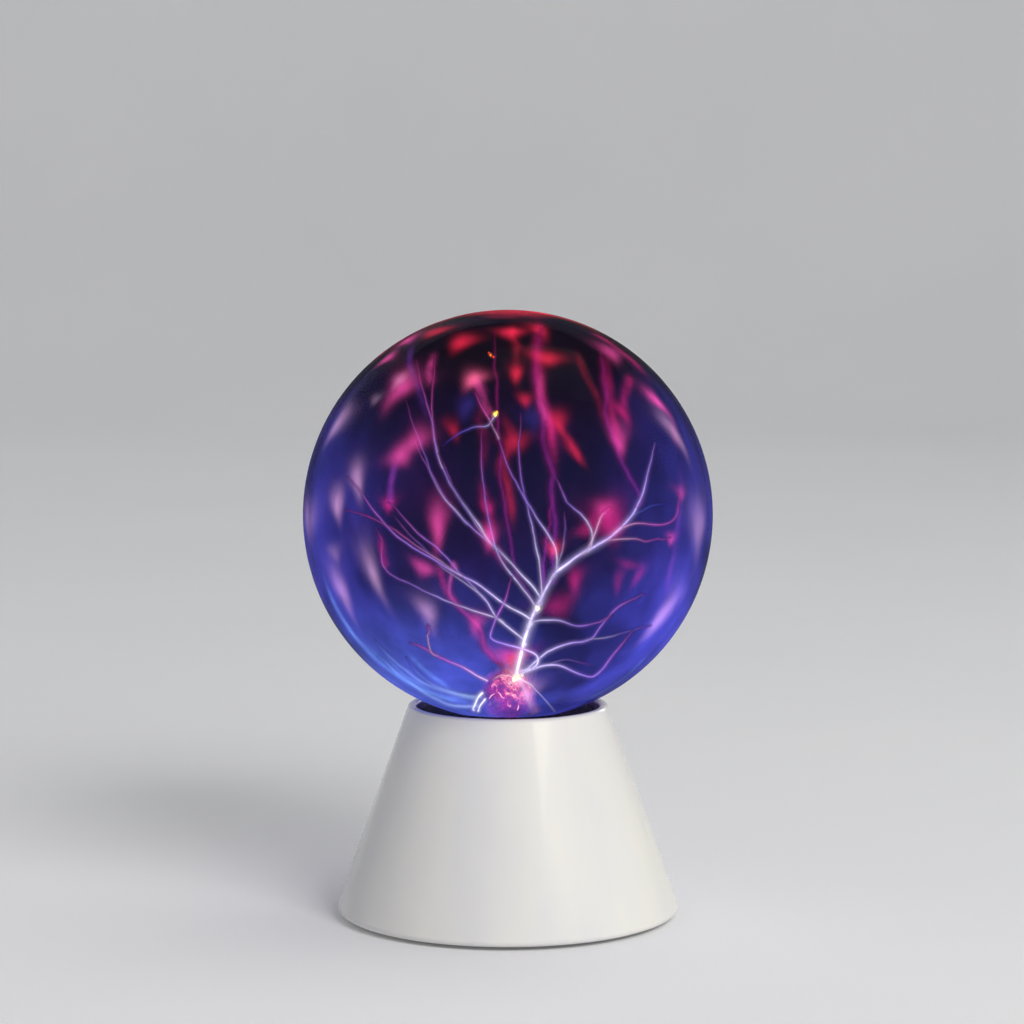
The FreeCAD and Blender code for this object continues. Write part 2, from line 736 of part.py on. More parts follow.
def transistor_screw():
    piece = screw(TAB_SCREW_R, TAB_SCREW_L, 0, 0, 0, False)
    piece.rotate(vec(0, 0, 0), vec(1, 0, 0), -90)
    piece.translate(vec(SINK_X, SINK_FACE_Y + TAB_T, TAB_HOLE_Z))
    return piece


def transistor_nut():
    """Hexagonal nut behind the heatsink's plate, between the middle fins."""
    back = SINK_FACE_Y - SINK_PLATE - NUT_T
    corners = [vec(x, 0, z) for x, z in around(NUT_R, range(30, 391, 60))]
    block = Part.Face(Part.makePolygon(corners)).extrude(vec(0, NUT_T, 0))
    block.translate(vec(SINK_X, back, TAB_HOLE_Z))
    return block.cut(rod_along_y(TAB_SCREW_R + SOFT_GAP, back, back + NUT_T, SINK_X, TAB_HOLE_Z))


def can_capacitor(at, radius, height, pitch):
    """Aluminium can in a sleeve, with a groove round its foot and a vent cross on top."""
    top = BOARD_TOP + height
    can = cylinder(radius, BOARD_TOP, top, at[0], at[1])
    can = can.makeFillet(CAN_ROUND, circles_at(can, top))
    groove_at = vec(at[0], at[1], BOARD_TOP + CAN_GROOVE_Z)
    groove = Part.makeTorus(radius + CAN_GROOVE_OUT, CAN_GROOVE_R, groove_at, UP)
    arm = CAN_VENT_RATIO * radius
    half = CAN_VENT_W / 2
    vents = [
        box(at[0] - arm, at[0] + arm, at[1] - half, at[1] + half, top - CAN_VENT_DEPTH, top),
        box(at[0] - half, at[0] + half, at[1] - arm, at[1] + arm, top - CAN_VENT_DEPTH, top),
    ]
    return join([can.cut([groove] + vents)] + board_pins(capacitor_pins(at, pitch), BOARD_TOP + PIN_SINK))


def film_capacitor():
    half_x, half_y = FILM_SIZE[0] / 2, FILM_SIZE[1] / 2
    x, y = FILM_AT
    body = box(x - half_x, x + half_x, y - half_y, y + half_y, BOARD_TOP, BOARD_TOP + FILM_SIZE[2])
    body = body.makeFillet(FILM_ROUND, body.Edges)
    return join([body] + board_pins(capacitor_pins(FILM_AT, FILM_PITCH), BOARD_TOP + PIN_SINK))


def resistor(y):
    """Waisted body with end caps on a wire that bends down into the board."""
    z = BOARD_TOP + RESISTOR_R + RESISTOR_STAND
    half = RESISTOR_L / 2
    along = vec(1, 0, 0)
    body = Part.makeCylinder(RESISTOR_WAIST * RESISTOR_R, RESISTOR_L, vec(RESISTOR_X - half, y, z), along)
    caps = []
    for start in (RESISTOR_X - half, RESISTOR_X + half - RESISTOR_CAP):
        caps.append(Part.makeCylinder(RESISTOR_R, RESISTOR_CAP, vec(start, y, z), along))
    span = RESISTOR_SPAN / 2
    wire = Part.makeCylinder(PIN_R, RESISTOR_SPAN, vec(RESISTOR_X - span, y, z), along)
    ends = [RESISTOR_X - span, RESISTOR_X + span]
    elbows = [Part.makeSphere(PIN_R, vec(x, y, z)) for x in ends]
    return join([body, wire] + caps + elbows + board_pins([(x, y) for x in ends], z))


def resistors():
    return Part.makeCompound([resistor(y) for y in RESISTOR_YS])


def driver_chip():
    """Eight-legged chip with a notch at one end."""
    half_x, half_y = DRIVER_SIZE[0] / 2, DRIVER_SIZE[1] / 2
    x, y = DRIVER_AT
    low = BOARD_TOP + DRIVER_STAND
    high = low + DRIVER_SIZE[2]
    body = box(x - half_x, x + half_x, y - half_y, y + half_y, low, high)
    body = body.cut(cylinder(DRIVER_NOTCH_R, high - DRIVER_NOTCH, high, x - half_x, y))
    z0 = low + (DRIVER_SIZE[2] - DRIVER_LEG_T) / 2
    z1 = z0 + DRIVER_LEG_T
    legs = board_pins(driver_pins(), z1)
    half = DRIVER_LEG_W / 2
    for leg_x, leg_y in driver_pins():
        inner = y + math.copysign(half_y - DRIVER_LEG_SINK, leg_y - y)
        y0, y1 = sorted((inner, leg_y))
        legs.append(box(leg_x - half, leg_x + half, y0, y1, z0, z1))
    return join([body] + legs)


def dc_jack_body():
    x0 = JACK_X - JACK_W / 2
    x1 = JACK_X + JACK_W / 2
    back = JACK_FACE_Y - JACK_L
    body = box(x0, x1, back, JACK_FACE_Y, BOARD_TOP, BOARD_TOP + JACK_H)
    top_z = BOARD_TOP + JACK_H
    top_edges = [e for e in body.Edges if e.BoundBox.ZMin > top_z - 0.01 and e.BoundBox.YLength > 1]
    body = body.makeFillet(JACK_ROUND, top_edges)
    bottom_y = JACK_FACE_Y - JACK_BORE_L
    bore = rod_along_y(JACK_BORE_R, bottom_y, JACK_FACE_Y, JACK_X, JACK_AXIS_Z)
    root_y = bottom_y - JACK_PIN_ROOT
    root = rod_along_y(JACK_PIN_ROOT_R + SOFT_GAP, root_y, bottom_y, JACK_X, JACK_AXIS_Z)
    return body.cut([bore, root])


def dc_jack_pin():
    """Centre pin, on a thicker root held in the inlet's body."""
    bottom_y = JACK_FACE_Y - JACK_BORE_L
    end = JACK_FACE_Y - JACK_PIN_SINK
    pin = rod_along_y(JACK_PIN_R, bottom_y, end, JACK_X, JACK_AXIS_Z)
    nose = [e for e in pin.Edges if isinstance(e.Curve, Part.Circle) and e.BoundBox.YMin > end - 0.01]
    root = rod_along_y(JACK_PIN_ROOT_R, bottom_y - JACK_PIN_ROOT, bottom_y, JACK_X, JACK_AXIS_Z)
    return join([pin.makeFillet(JACK_PIN_ROUND, nose), root])


def dc_jack_contacts():
    """Two blades down into the board, and the leaf that touches the plug's sleeve."""
    back = JACK_FACE_Y - JACK_L
    side = JACK_X - JACK_W / 2
    half = BLADE_W / 2
    rear = box(JACK_X - half, JACK_X + half, back - BLADE, back, PIN_END_Z, JACK_AXIS_Z + BLADE_TOP)
    flank = box(side - BLADE, side, FLANK_Y - half, FLANK_Y + half, PIN_END_Z, JACK_AXIS_Z)
    half = LEAF_W / 2
    leaf_y0 = JACK_FACE_Y - LEAF_BACK
    leaf_y1 = JACK_FACE_Y - LEAF_FRONT
    leaf_z = JACK_AXIS_Z - JACK_BORE_R + LEAF_LIFT
    leaf = box(JACK_X - half, JACK_X + half, leaf_y0, leaf_y1, leaf_z, leaf_z + LEAF)
    return Part.makeCompound([rear, flank, leaf])


def contact_xs():
    return [SWITCH_X + i * CONTACT_PITCH for i in (-1, 0, 1)]


def switch_frame():
    """Folded metal can, open below and behind, with a slot for the knob."""
    x0 = SWITCH_X - SWITCH_W / 2
    x1 = SWITCH_X + SWITCH_W / 2
    top = BOARD_TOP + SWITCH_H
    can = box(x0, x1, SWITCH_BACK_Y, SWITCH_FRONT_Y, BOARD_TOP, top)
    inside = box(x0 + SHEET, x1 - SHEET, SWITCH_BACK_Y, SWITCH_FRONT_Y - SHEET, BOARD_TOP, top - SHEET)
    slot_x0, slot_x1, slot_z0, slot_z1 = slot_box(SLOT_GAP)
    slot = box(slot_x0, slot_x1, SWITCH_FRONT_Y - SHEET, SWITCH_FRONT_Y, slot_z0, slot_z1)
    return can.cut([inside, slot])


def switch_base():
    """Insulating plate across the back of the can, which carries the contacts."""
    x0 = SWITCH_X - SWITCH_W / 2 + SHEET
    x1 = SWITCH_X + SWITCH_W / 2 - SHEET
    top = BOARD_TOP + SWITCH_H - SHEET
    plate = box(x0, x1, SWITCH_BACK_Y, SWITCH_BACK_Y + SWITCH_PLATE, BOARD_TOP, top)
    y1 = SWITCH_BACK_Y + SWITCH_PLATE
    half = STUD_W / 2
    holes = [box(x - half, x + half, SWITCH_BACK_Y, y1, KNOB_Z - half, KNOB_Z + half) for x in contact_xs()]
    return plate.cut(holes)


def switch_contact(x):
    """Stud through the insulating plate, with a leg down into the board."""
    y0 = SWITCH_BACK_Y - STUD_BACK
    y1 = SWITCH_BACK_Y + SWITCH_PLATE + STUD_FRONT
    half = STUD_W / 2
    stud = box(x - half, x + half, y0, y1, KNOB_Z - half, KNOB_Z + half)
    half = CONTACT_LEG_W / 2
    leg = box(x - half, x + half, y0, y0 + BLADE, PIN_END_Z, KNOB_Z)
    return join([stud, leg])


def switch_contacts():
    return Part.makeCompound([switch_contact(x) for x in contact_xs()])


def switch_slider():
    """Block inside the can with the ridged knob a finger pushes."""
    x = SWITCH_X + SWITCH_TRAVEL / 2
    z0 = BOARD_TOP + SLIDER_LIFT
    z1 = BOARD_TOP + SWITCH_H - 2 * SHEET
    block = box(x - SLIDER_W / 2, x + SLIDER_W / 2, SLIDER_BACK_Y, SLIDER_FRONT_Y, z0, z1)
    low = KNOB_Z - KNOB_H / 2
    high = KNOB_Z + KNOB_H / 2
    knob = box(x - KNOB_W / 2, x + KNOB_W / 2, SLIDER_FRONT_Y, KNOB_TIP_Y, low, high)
    grooves = []
    for side in (-1, 0, 1):
        x0 = x + side * GROOVE_PITCH - GROOVE_W / 2
        grooves.append(box(x0, x0 + GROOVE_W, KNOB_TIP_Y - GROOVE_DEPTH, KNOB_TIP_Y, low, high))
    return join([block, knob]).cut(grooves)


def switch_wiper():
    """Contact strip on the slider's back, which bridges two studs."""
    x0 = SWITCH_X + SWITCH_TRAVEL / 2 - CONTACT_PITCH
    x1 = x0 + 2 * CONTACT_PITCH
    half = WIPER_H / 2
    return box(x0, x1, SLIDER_BACK_Y - WIPER, SLIDER_BACK_Y, KNOB_Z - half, KNOB_Z + half)


def lead_spine(points):
    """Straight runs joined by tangent arcs, each as large as its two runs allow."""
    corners = [vec(*p) for p in points]
    edges = []
    start = corners[0]
    for before, corner, after in zip(corners, corners[1:], corners[2:]):
        way_in = (corner - before).normalize()
        way_out = (after - corner).normalize()
        reach = 0.45 * min((corner - before).Length, (after - corner).Length)
        radius = reach / math.tan(way_in.getAngle(way_out) / 2)
        print(f"lead bend radius {radius:.1f} mm")
        inward = (way_out - way_in).normalize()
        middle = corner + inward * (math.hypot(radius, reach) - radius)
        first = corner - way_in * reach
        last = corner + way_out * reach
        edges.append(Part.LineSegment(start, first).toShape())
        edges.append(Part.Arc(first, middle, last).toShape())
        start = last
    edges.append(Part.LineSegment(start, corners[-1]).toShape())
    return Part.Wire(edges)


def hv_lead():
    """Insulated lead from the secondary's outlet to the electrode's boot."""
    spine = lead_spine(LEAD_POINTS)
    first_run = vec(*LEAD_POINTS[1]) - vec(*LEAD_POINTS[0])
    section = Part.Wire(Part.Circle(vec(*LEAD_POINTS[0]), first_run, LEAD_R).toShape())
    tube = spine.makePipeShell([section], True, False)
    expected = math.pi * LEAD_R ** 2 * spine.Length
    print(f"lead length {spine.Length:.1f} mm, volume {tube.Volume:.1f} of {expected:.1f} mm3")
    return tube


def sub_parts():
    """Every node's name with its shape."""
    parts = {
        "globe": globe(),
        "electrode_bulb": electrode_bulb(),
        "exhaust_tip": exhaust_tip(),
        "electrode_wool": electrode_wool(),
        "electrode_wire": electrode_wire(),
        "electrode_boot": electrode_boot(),
        "hv_lead": hv_lead(),
        "globe_cushion": globe_cushion(),
        "neck_collar": neck_collar(),
        "neck_sealant": neck_sealant(),
        "collar_screws": collar_screws(),
        "base_shell": base_shell(),
        "base_plate": base_plate(),
        "base_screws": base_screws(),
        "circuit_board": circuit_board(),
        "board_screws": board_screws(),
        "core_lower": core_lower(),
        "core_upper": core_upper(),
        "core_tie": core_tie(),
        "secondary_winding": secondary_winding(),
        "primary_spool": primary_spool(),
        "primary_winding": primary_winding(),
        "heatsink": heatsink(),
        "power_transistor": power_transistor(),
        "transistor_screw": transistor_screw(),
        "transistor_nut": transistor_nut(),
        "filter_capacitor": can_capacitor(FILTER_AT, FILTER_R, FILTER_H, FILTER_PITCH),
        "input_capacitor": can_capacitor(INPUT_AT, INPUT_R, INPUT_H, INPUT_PITCH),
        "film_capacitor": film_capacitor(),
        "resistors": resistors(),
        "driver_chip": driver_chip(),
        "dc_jack_body": dc_jack_body(),
        "dc_jack_pin": dc_jack_pin(),
        "dc_jack_contacts": dc_jack_contacts(),
        "switch_frame": switch_frame(),
        "switch_base": switch_base(),
        "switch_contacts": switch_contacts(),
        "switch_slider": switch_slider(),
        "switch_wiper": switch_wiper(),
    }
    for number, (x, y) in enumerate(around(PAD_PLACE, (0, 90, 180, 270)), start=1):
        parts[f"foot_{number}"] = foot(x, y)
    return parts


os.makedirs("parts", exist_ok=True)
for name, shape in sub_parts().items():
    sound = all(s.isValid() and s.isClosed() for s in shape.Solids)
    print(f"{name}: {len(shape.Solids)} solids, {shape.Volume:.1f} mm3, sound {sound}")
    shape.exportStep(f"parts/{name}.step")
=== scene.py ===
import math
import random

import bmesh
import bpy
import numpy as np
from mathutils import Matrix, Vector, noise


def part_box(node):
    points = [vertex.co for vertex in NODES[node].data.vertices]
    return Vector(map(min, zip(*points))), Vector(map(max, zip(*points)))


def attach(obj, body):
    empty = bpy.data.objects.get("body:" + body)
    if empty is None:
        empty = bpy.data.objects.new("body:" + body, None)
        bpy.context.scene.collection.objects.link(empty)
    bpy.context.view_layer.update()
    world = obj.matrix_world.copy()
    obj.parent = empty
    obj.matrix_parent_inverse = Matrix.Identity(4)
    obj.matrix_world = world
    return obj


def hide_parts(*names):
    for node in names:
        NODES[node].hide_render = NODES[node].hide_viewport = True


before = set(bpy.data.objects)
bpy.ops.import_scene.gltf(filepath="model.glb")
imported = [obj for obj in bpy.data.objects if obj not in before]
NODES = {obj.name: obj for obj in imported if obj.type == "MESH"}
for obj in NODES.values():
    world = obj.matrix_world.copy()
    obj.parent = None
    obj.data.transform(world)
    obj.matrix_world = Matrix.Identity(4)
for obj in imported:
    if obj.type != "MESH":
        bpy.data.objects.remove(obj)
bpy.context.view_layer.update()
BODY = "lamp"

# ---- measures, in metres
GLOBE_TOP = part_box("globe")[1]
R = GLOBE_TOP.x
CENTRE = Vector((0, 0, GLOBE_TOP.z - R))
GLASS = 0.0016  # the globe's wall
GAS_R = R - 0.00015
STREAMER_REACH = (R - GLASS) * 0.992
BULB_R = 0.0105
BULB = Vector((0, 0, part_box("electrode_bulb")[1].z - BULB_R))
WOOL_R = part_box("electrode_wool")[1].z - BULB.z
WOOL_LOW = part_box("electrode_wool")[0].z
HOT_Y = -0.0055  # the discharge leaves the front of the electrode
HOT_SPOT = BULB + Vector((0.0034, HOT_Y, 0.0075))

CAMERA_AT = Vector((0.0, -1.2, 0.278))
CAMERA_AIM = CENTRE + Vector((0.0015, 0, 0.001))
CAMERA_LENS = 116.0
SEED = 20
noise.seed_set(SEED)  # noise_vector would start from the clock


def tone(r, g, b, strength=1.0):
    """Linear colour from the 0-255 values a screen shows."""
    shares = (c / 255 for c in (r, g, b))
    return tuple((c / 12.92 if c <= 0.04045 else ((c + 0.055) / 1.055) ** 2.4) * strength for c in shares)


# ---- shader nodes
class Shader:
    """A material's node tree, with short calls for the nodes used here."""

    def __init__(self, name):
        self.material = bpy.data.materials.new(name)
        self.material.use_nodes = True
        self.tree = self.material.node_tree
        self.tree.nodes.clear()
        self.out = self.tree.nodes.new("ShaderNodeOutputMaterial")
        self.place = self.node("TexCoord", "Object", {})

    def put(self, socket, value):
        if isinstance(value, bpy.types.NodeSocket):
            self.tree.links.new(value, socket)
        elif socket.type == "RGBA" and len(value) == 3:
            socket.default_value = (*value, 1.0)
        else:
            socket.default_value = value

    def node(self, kind, output, inputs, **values):
        """A new node with its inputs set or linked. Gives one of its outputs."""
        made = self.tree.nodes.new("ShaderNode" + kind)
        for key, value in values.items():
            setattr(made, key, value)
        for key, value in inputs.items():
            self.put(made.inputs[key], value)
        return made.outputs[output]

    def stretched(self, stretch):
        return self.node("Mapping", "Vector", {"Vector": self.place, "Scale": stretch})

    def axis(self, name):
        return self.node("SeparateXYZ", name, {"Vector": self.place})

    def away_from(self, point):
        return self.node("VectorMath", "Value", {0: self.place, 1: point}, operation="DISTANCE")

    def noise(self, scale, detail=4.0, rough=0.5, where=None, twist=0.0):
        return self.node("TexNoise", "Fac", {"Vector": where or self.place, "Scale": scale, "Detail": detail,
                                             "Roughness": rough, "Distortion": twist})

    def cells(self, scale):
        return self.node("TexVoronoi", "Distance", {"Vector": self.place, "Scale": scale})

    def bands(self, scale, direction, twist):
        return self.node("TexWave", "Fac", {"Vector": self.place, "Scale": scale, "Distortion": twist},
                         bands_direction=direction)

    def ramp(self, value, stops, interpolation="LINEAR"):
        colour = self.node("ValToRGB", "Color", {"Fac": value})
        ramp = colour.node.color_ramp
        ramp.interpolation = interpolation
        while len(ramp.elements) < len(stops):
            ramp.elements.new(1.0)
        for point, (where, shade) in zip(ramp.elements, stops):
            point.position = where
            point.color = (*shade, 1.0)
        return colour

    def levels(self, value, low, high, first=0.0, last=1.0):
        return self.node("MapRange", "Result", {"Value": value, "From Min": first, "From Max": last,
                                                "To Min": low, "To Max": high})

    def maths(self, operation, a, b):
        return self.node("Math", 0, {0: a, 1: b}, operation=operation)

    def blend(self, share, a, b, how="MIX"):
        return self.node("Mix", "Result", {"Factor": share, "A": a, "B": b}, data_type="RGBA", blend_type=how)

    def bump(self, height, distance):
        return self.node("Bump", "Normal", {"Height": height, "Distance": distance, "Strength": 1.0})

    def principled(self, **values):
        return self.node("BsdfPrincipled", "BSDF", {key.replace("_", " "): v for key, v in values.items()})

    def emission(self, colour, strength):
        return self.node("Emission", "Emission", {"Color": colour, "Strength": strength})

    def mix(self, share, a, b):
        return self.node("MixShader", "Shader", {0: share, 1: a, 2: b})

    def add(self, a, b):
        return self.node("AddShader", "Shader", {0: a, 1: b})

    def clear(self):
        return self.node("BsdfTransparent", "BSDF", {"Color": (1, 1, 1)})

    def painted(self, by):
        """The glow painted on the mesh, times a fine texture."""
        return self.blend(1.0, self.node("VertexColor", "Color", {}, layer_name="glow"), by, "MULTIPLY")

    def done(self, surface, glow=False):
        self.put(self.out.inputs["Surface"], surface)
        if glow:
            self.material.cycles.emission_sampling = "NONE"
        return self.material


def shaded(colour, share):
    return tuple(min(1.0, c * share) for c in colour)


def solid_finish(name, colour, rough, mottle, patch, grain, depth, metal=0.0, stretch=(1, 1, 1), **more):
    """A moulded, painted or metal finish: soft colour patches, uneven gloss and a fine grain."""
    s = Shader(name)
    where = s.stretched(stretch)
    patches = s.noise(patch, 5.0, 0.55)
    colour_map = s.ramp(patches, [(0.3, shaded(colour, 1 - mottle)), (0.7, shaded(colour, 1 + mottle))])
    fine = s.noise(grain, 3.0, 0.6, where)
    gloss = s.levels(s.noise(patch * 3, 6.0, 0.6, where), rough - 0.08, rough + 0.08, 0.3, 0.7)
    return s.done(s.principled(Base_Color=colour_map, Roughness=gloss, Metallic=metal,
                               Normal=s.bump(fine, depth), **more))


def base_gloss():
    """Thick glossy white plastic: faint upright flow marks, a trace of orange peel, uneven gloss."""
    s = Shader("white_gloss")
    flow = s.noise(26.0, 3.0, 0.5, s.stretched((1, 1, 0.12)))
    colour = s.ramp(flow, [(0.3, tone(216, 216, 219)), (0.5, tone(223, 222, 220)),
                           (0.7, tone(227, 226, 218))])
    gloss = s.levels(s.noise(60.0, 3.0, 0.5), 0.22, 0.27, 0.3, 0.7)
    peel = s.noise(330.0, 1.0, 0.3)
    wave = s.noise(38.0, 0.0, 0.3)
    normal = s.bump(s.maths("ADD", peel, s.maths("MULTIPLY", wave, 4.0)), 0.000003)
    return s.done(s.principled(Base_Color=colour, Roughness=gloss, Normal=normal, Coat_Weight=0.5,
                               Coat_Roughness=0.06, Subsurface_Weight=0.03, Subsurface_Scale=0.003))


def foam():
    s = Shader("dark_foam")
    pores = s.cells(900.0)
    # painted shade: the pores are darker in their pits, where the bump is low
    shade = s.ramp(pores, [(0.1, tone(14, 14, 16)), (0.6, tone(44, 44, 50))])
    rough = s.levels(s.noise(300.0), 0.85, 1.0)
    return s.done(s.principled(Base_Color=shade, Roughness=rough, Normal=s.bump(pores, 0.0004)))


def board():
    """Green solder mask over woven laminate."""
    s = Shader("board_laminate")
    weave = s.maths("MULTIPLY", s.bands(260.0, "X", 0.4), s.bands(260.0, "Y", 0.4))
    shade = s.blend(s.levels(weave, 0.0, 0.35), tone(16, 88, 46), tone(30, 116, 60))
    patches = s.noise(90.0, 5.0)
    colour = s.blend(s.levels(patches, 0.0, 0.4), shade, tone(20, 70, 42))
    rough = s.levels(patches, 0.28, 0.42)
    return s.done(s.principled(Base_Color=colour, Roughness=rough, Normal=s.bump(weave, 0.00003)))


def winding():
    s = Shader("copper")
    turns = s.bands(560.0, "Z", 0.15)
    # painted shade: the copper is darker in the grooves between turns, where the bump is low
    colour = s.blend(s.levels(turns, 0.0, 0.75), tone(118, 48, 22), tone(216, 124, 72))
    rough = s.levels(s.noise(400.0), 0.22, 0.38)
    return s.done(s.principled(Base_Color=colour, Roughness=rough, Metallic=0.9,
                               Normal=s.bump(turns, 0.00018)))


def can_sleeve():
    """Plain blue sleeve; the bare can shows at the top."""
    s = Shader("capacitor_sleeve")
    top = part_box("filter_capacitor")[1].z
    bare = s.maths("GREATER_THAN", s.axis("Z"), top - 0.0006)
    film = s.noise(120.0, 5.0)
    blue = s.ramp(film, [(0.3, tone(18, 24, 72)), (0.7, tone(30, 40, 104))])
    colour = s.blend(bare, blue, tone(196, 198, 202))
    rough = s.levels(film, 0.22, 0.36)
    return s.done(s.principled(Base_Color=colour, Roughness=rough, Metallic=bare,
                               Normal=s.bump(s.noise(500.0), 0.00003)))


def beige_resistor():
    """Beige body with coloured bands, and tinned wire beyond it."""
    s = Shader("resistor_beige")
    low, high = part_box("resistors")
    along = s.levels(s.axis("X"), 0.0, 1.0, low.x, high.x)
    body, wire = tone(214, 184, 132), tone(190, 192, 196)
    stops = [(0.0, wire), (0.2, wire), (0.21, body), (0.3, body), (0.31, tone(120, 60, 30)), (0.36, body),
             (0.44, tone(30, 30, 30)), (0.49, body), (0.57, tone(200, 60, 30)), (0.62, body),
             (0.7, tone(190, 150, 60)), (0.74, body), (0.79, wire)]
    bands = s.ramp(along, stops, "CONSTANT")
    mottled = s.blend(s.levels(s.noise(900.0), 0.0, 0.25), bands, tone(150, 128, 96))
    return s.done(s.principled(Base_Color=mottled, Roughness=s.levels(s.noise(500.0), 0.35, 0.55),
                               Normal=s.bump(s.noise(1500.0), 0.00002)))


def glossy_wall(s, ior, amount, tint, rough, normal, where=None):
    """A wall seen straight through, with a gloss that grows at a shallow angle."""
    share = s.maths("MULTIPLY", s.node("Fresnel", 0, {"IOR": ior, "Normal": normal}), amount)
    if where is not None:
        share = s.maths("MULTIPLY", share, where)
    gloss = s.node("BsdfAnisotropic", "BSDF", {"Color": tint, "Roughness": rough, "Normal": normal})
    return s.mix(share, s.clear(), gloss)


def clear_glass():
    """Blown glass, glossy on its outer wall only."""
    s = Shader("clear_glass")
    outer = s.maths("GREATER_THAN", s.away_from(CENTRE), R - GLASS / 2)
    rough = s.levels(s.noise(90.0, 5.0), 0.02, 0.06)
    normal = s.bump(s.noise(35.0, 2.0, 0.4), 0.00012)
    return s.done(glossy_wall(s, 1.25, 0.11, (0.95, 0.96, 1.0), rough, normal, outer))


def bulb_glass():
    """The electrode's own small bulb, lit from inside."""
    s = Shader("bulb_glass")
    rough = s.levels(s.noise(400.0, 4.0), 0.04, 0.12)
    normal = s.bump(s.noise(180.0, 3.0, 0.5), 0.0002)
    sheath = s.ramp(s.noise(130.0, 4.0, 0.6), [(0.4, tone(52, 26, 120)), (0.58, tone(150, 44, 130)),
                                               (0.7, tone(240, 130, 180))])
    glass = glossy_wall(s, 1.3, 0.2, (0.95, 0.9, 1.0), rough, normal)
    return s.done(s.add(glass, s.emission(sheath, 0.13)), glow=True)


# colour, roughness, strength of the colour patches, their scale, scale of the grain, its height in metres
SOLIDS = {
    "black_plastic": (tone(40, 40, 43), 0.42, 0.15, 70.0, 1400.0, 0.00004),
    "silicone": (tone(222, 222, 214), 0.38, 0.05, 90.0, 500.0, 0.00006),
    "red_silicone": (tone(168, 34, 28), 0.4, 0.12, 120.0, 900.0, 0.00003),
    "foot_rubber": (tone(46, 46, 48), 0.82, 0.2, 150.0, 1800.0, 0.00008),
    "wire_metal": (tone(200, 200, 204), 0.3, 0.1, 200.0, 1800.0, 0.00002),
    "zinc_steel": (tone(196, 198, 204), 0.32, 0.14, 260.0, 1500.0, 0.00002),
    "ferrite": (tone(64, 64, 68), 0.62, 0.25, 220.0, 1700.0, 0.00008),
    "nylon": (tone(226, 222, 206), 0.45, 0.06, 100.0, 900.0, 0.00003),
    "aluminium": (tone(202, 204, 208), 0.36, 0.08, 80.0, 1600.0, 0.00003),
    "epoxy_black": (tone(34, 34, 36), 0.5, 0.2, 160.0, 1500.0, 0.00005),
    "film_yellow": (tone(214, 160, 40), 0.3, 0.08, 120.0, 600.0, 0.00003),
    "plated_brass": (tone(216, 206, 176), 0.25, 0.1, 240.0, 1500.0, 0.00002),
}
METAL = {"metal": 1.0}
EXTRAS = {
    "silicone": {"Subsurface_Weight": 0.15, "Subsurface_Scale": 0.003},
    "zinc_steel": METAL, "plated_brass": METAL,
    "wire_metal": {**METAL, "stretch": (1, 1, 0.05)}, "aluminium": {**METAL, "stretch": (1, 1, 0.04)},
}


NODES_WITH = {
    "bulb_glass": ["electrode_bulb", "exhaust_tip"],
    "clear_glass": ["globe"],
    "white_gloss": ["base_shell"],
    "black_plastic": ["base_plate", "neck_collar", "dc_jack_body", "switch_slider"],
    "silicone": ["electrode_boot", "neck_sealant"],
    "red_silicone": ["hv_lead"],
    "foot_rubber": ["foot_1", "foot_2", "foot_3", "foot_4"],
    "wire_metal": ["electrode_wire"],
    "zinc_steel": ["collar_screws", "base_screws", "board_screws", "transistor_screw", "transistor_nut",
                   "switch_frame"],
    "board_laminate": ["circuit_board"],
    "ferrite": ["core_lower", "core_upper"],
    "copper": ["primary_winding"],
    "nylon": ["core_tie", "primary_spool"],
    "aluminium": ["heatsink"],
    "epoxy_black": ["secondary_winding", "power_transistor", "driver_chip", "switch_base"],
    "capacitor_sleeve": ["filter_capacitor", "input_capacitor"],
    "film_yellow": ["film_capacitor"],
    "resistor_beige": ["resistors"],
    "plated_brass": ["dc_jack_pin", "dc_jack_contacts", "switch_contacts", "switch_wiper"],
}

finishes = {name: solid_finish(name, *row, **EXTRAS.get(name, {})) for name, row in SOLIDS.items()}
finishes.update({"clear_glass": clear_glass(), "white_gloss": base_gloss(), "dark_foam": foam(),
                 "board_laminate": board(), "copper": winding(), "capacitor_sleeve": can_sleeve(),
                 "resistor_beige": beige_resistor(), "bulb_glass": bulb_glass()})
for finish, names in NODES_WITH.items():
    for name in names:
        for place in NODES[name].material_slots:
            place.material = finishes[finish]


# ---- meshes
def made(name, points, faces, material, glow=None):
    """An object from numbers, with its colours by vertex where it glows."""
    mesh = bpy.data.meshes.new(name)
    mesh.from_pydata([tuple(p) for p in points], [], [tuple(f) for f in faces])
    mesh.update()
    mesh.shade_smooth()
    if glow is not None:
        layer = mesh.color_attributes.new("glow", "FLOAT_COLOR", "POINT")
        flat = np.ones((len(points), 4), np.float32)
        flat[:, :3] = glow
        layer.data.foreach_set("color", flat.ravel())
    mesh.materials.append(material)
    item = bpy.data.objects.new(name, mesh)
    bpy.context.scene.collection.objects.link(item)
    return item


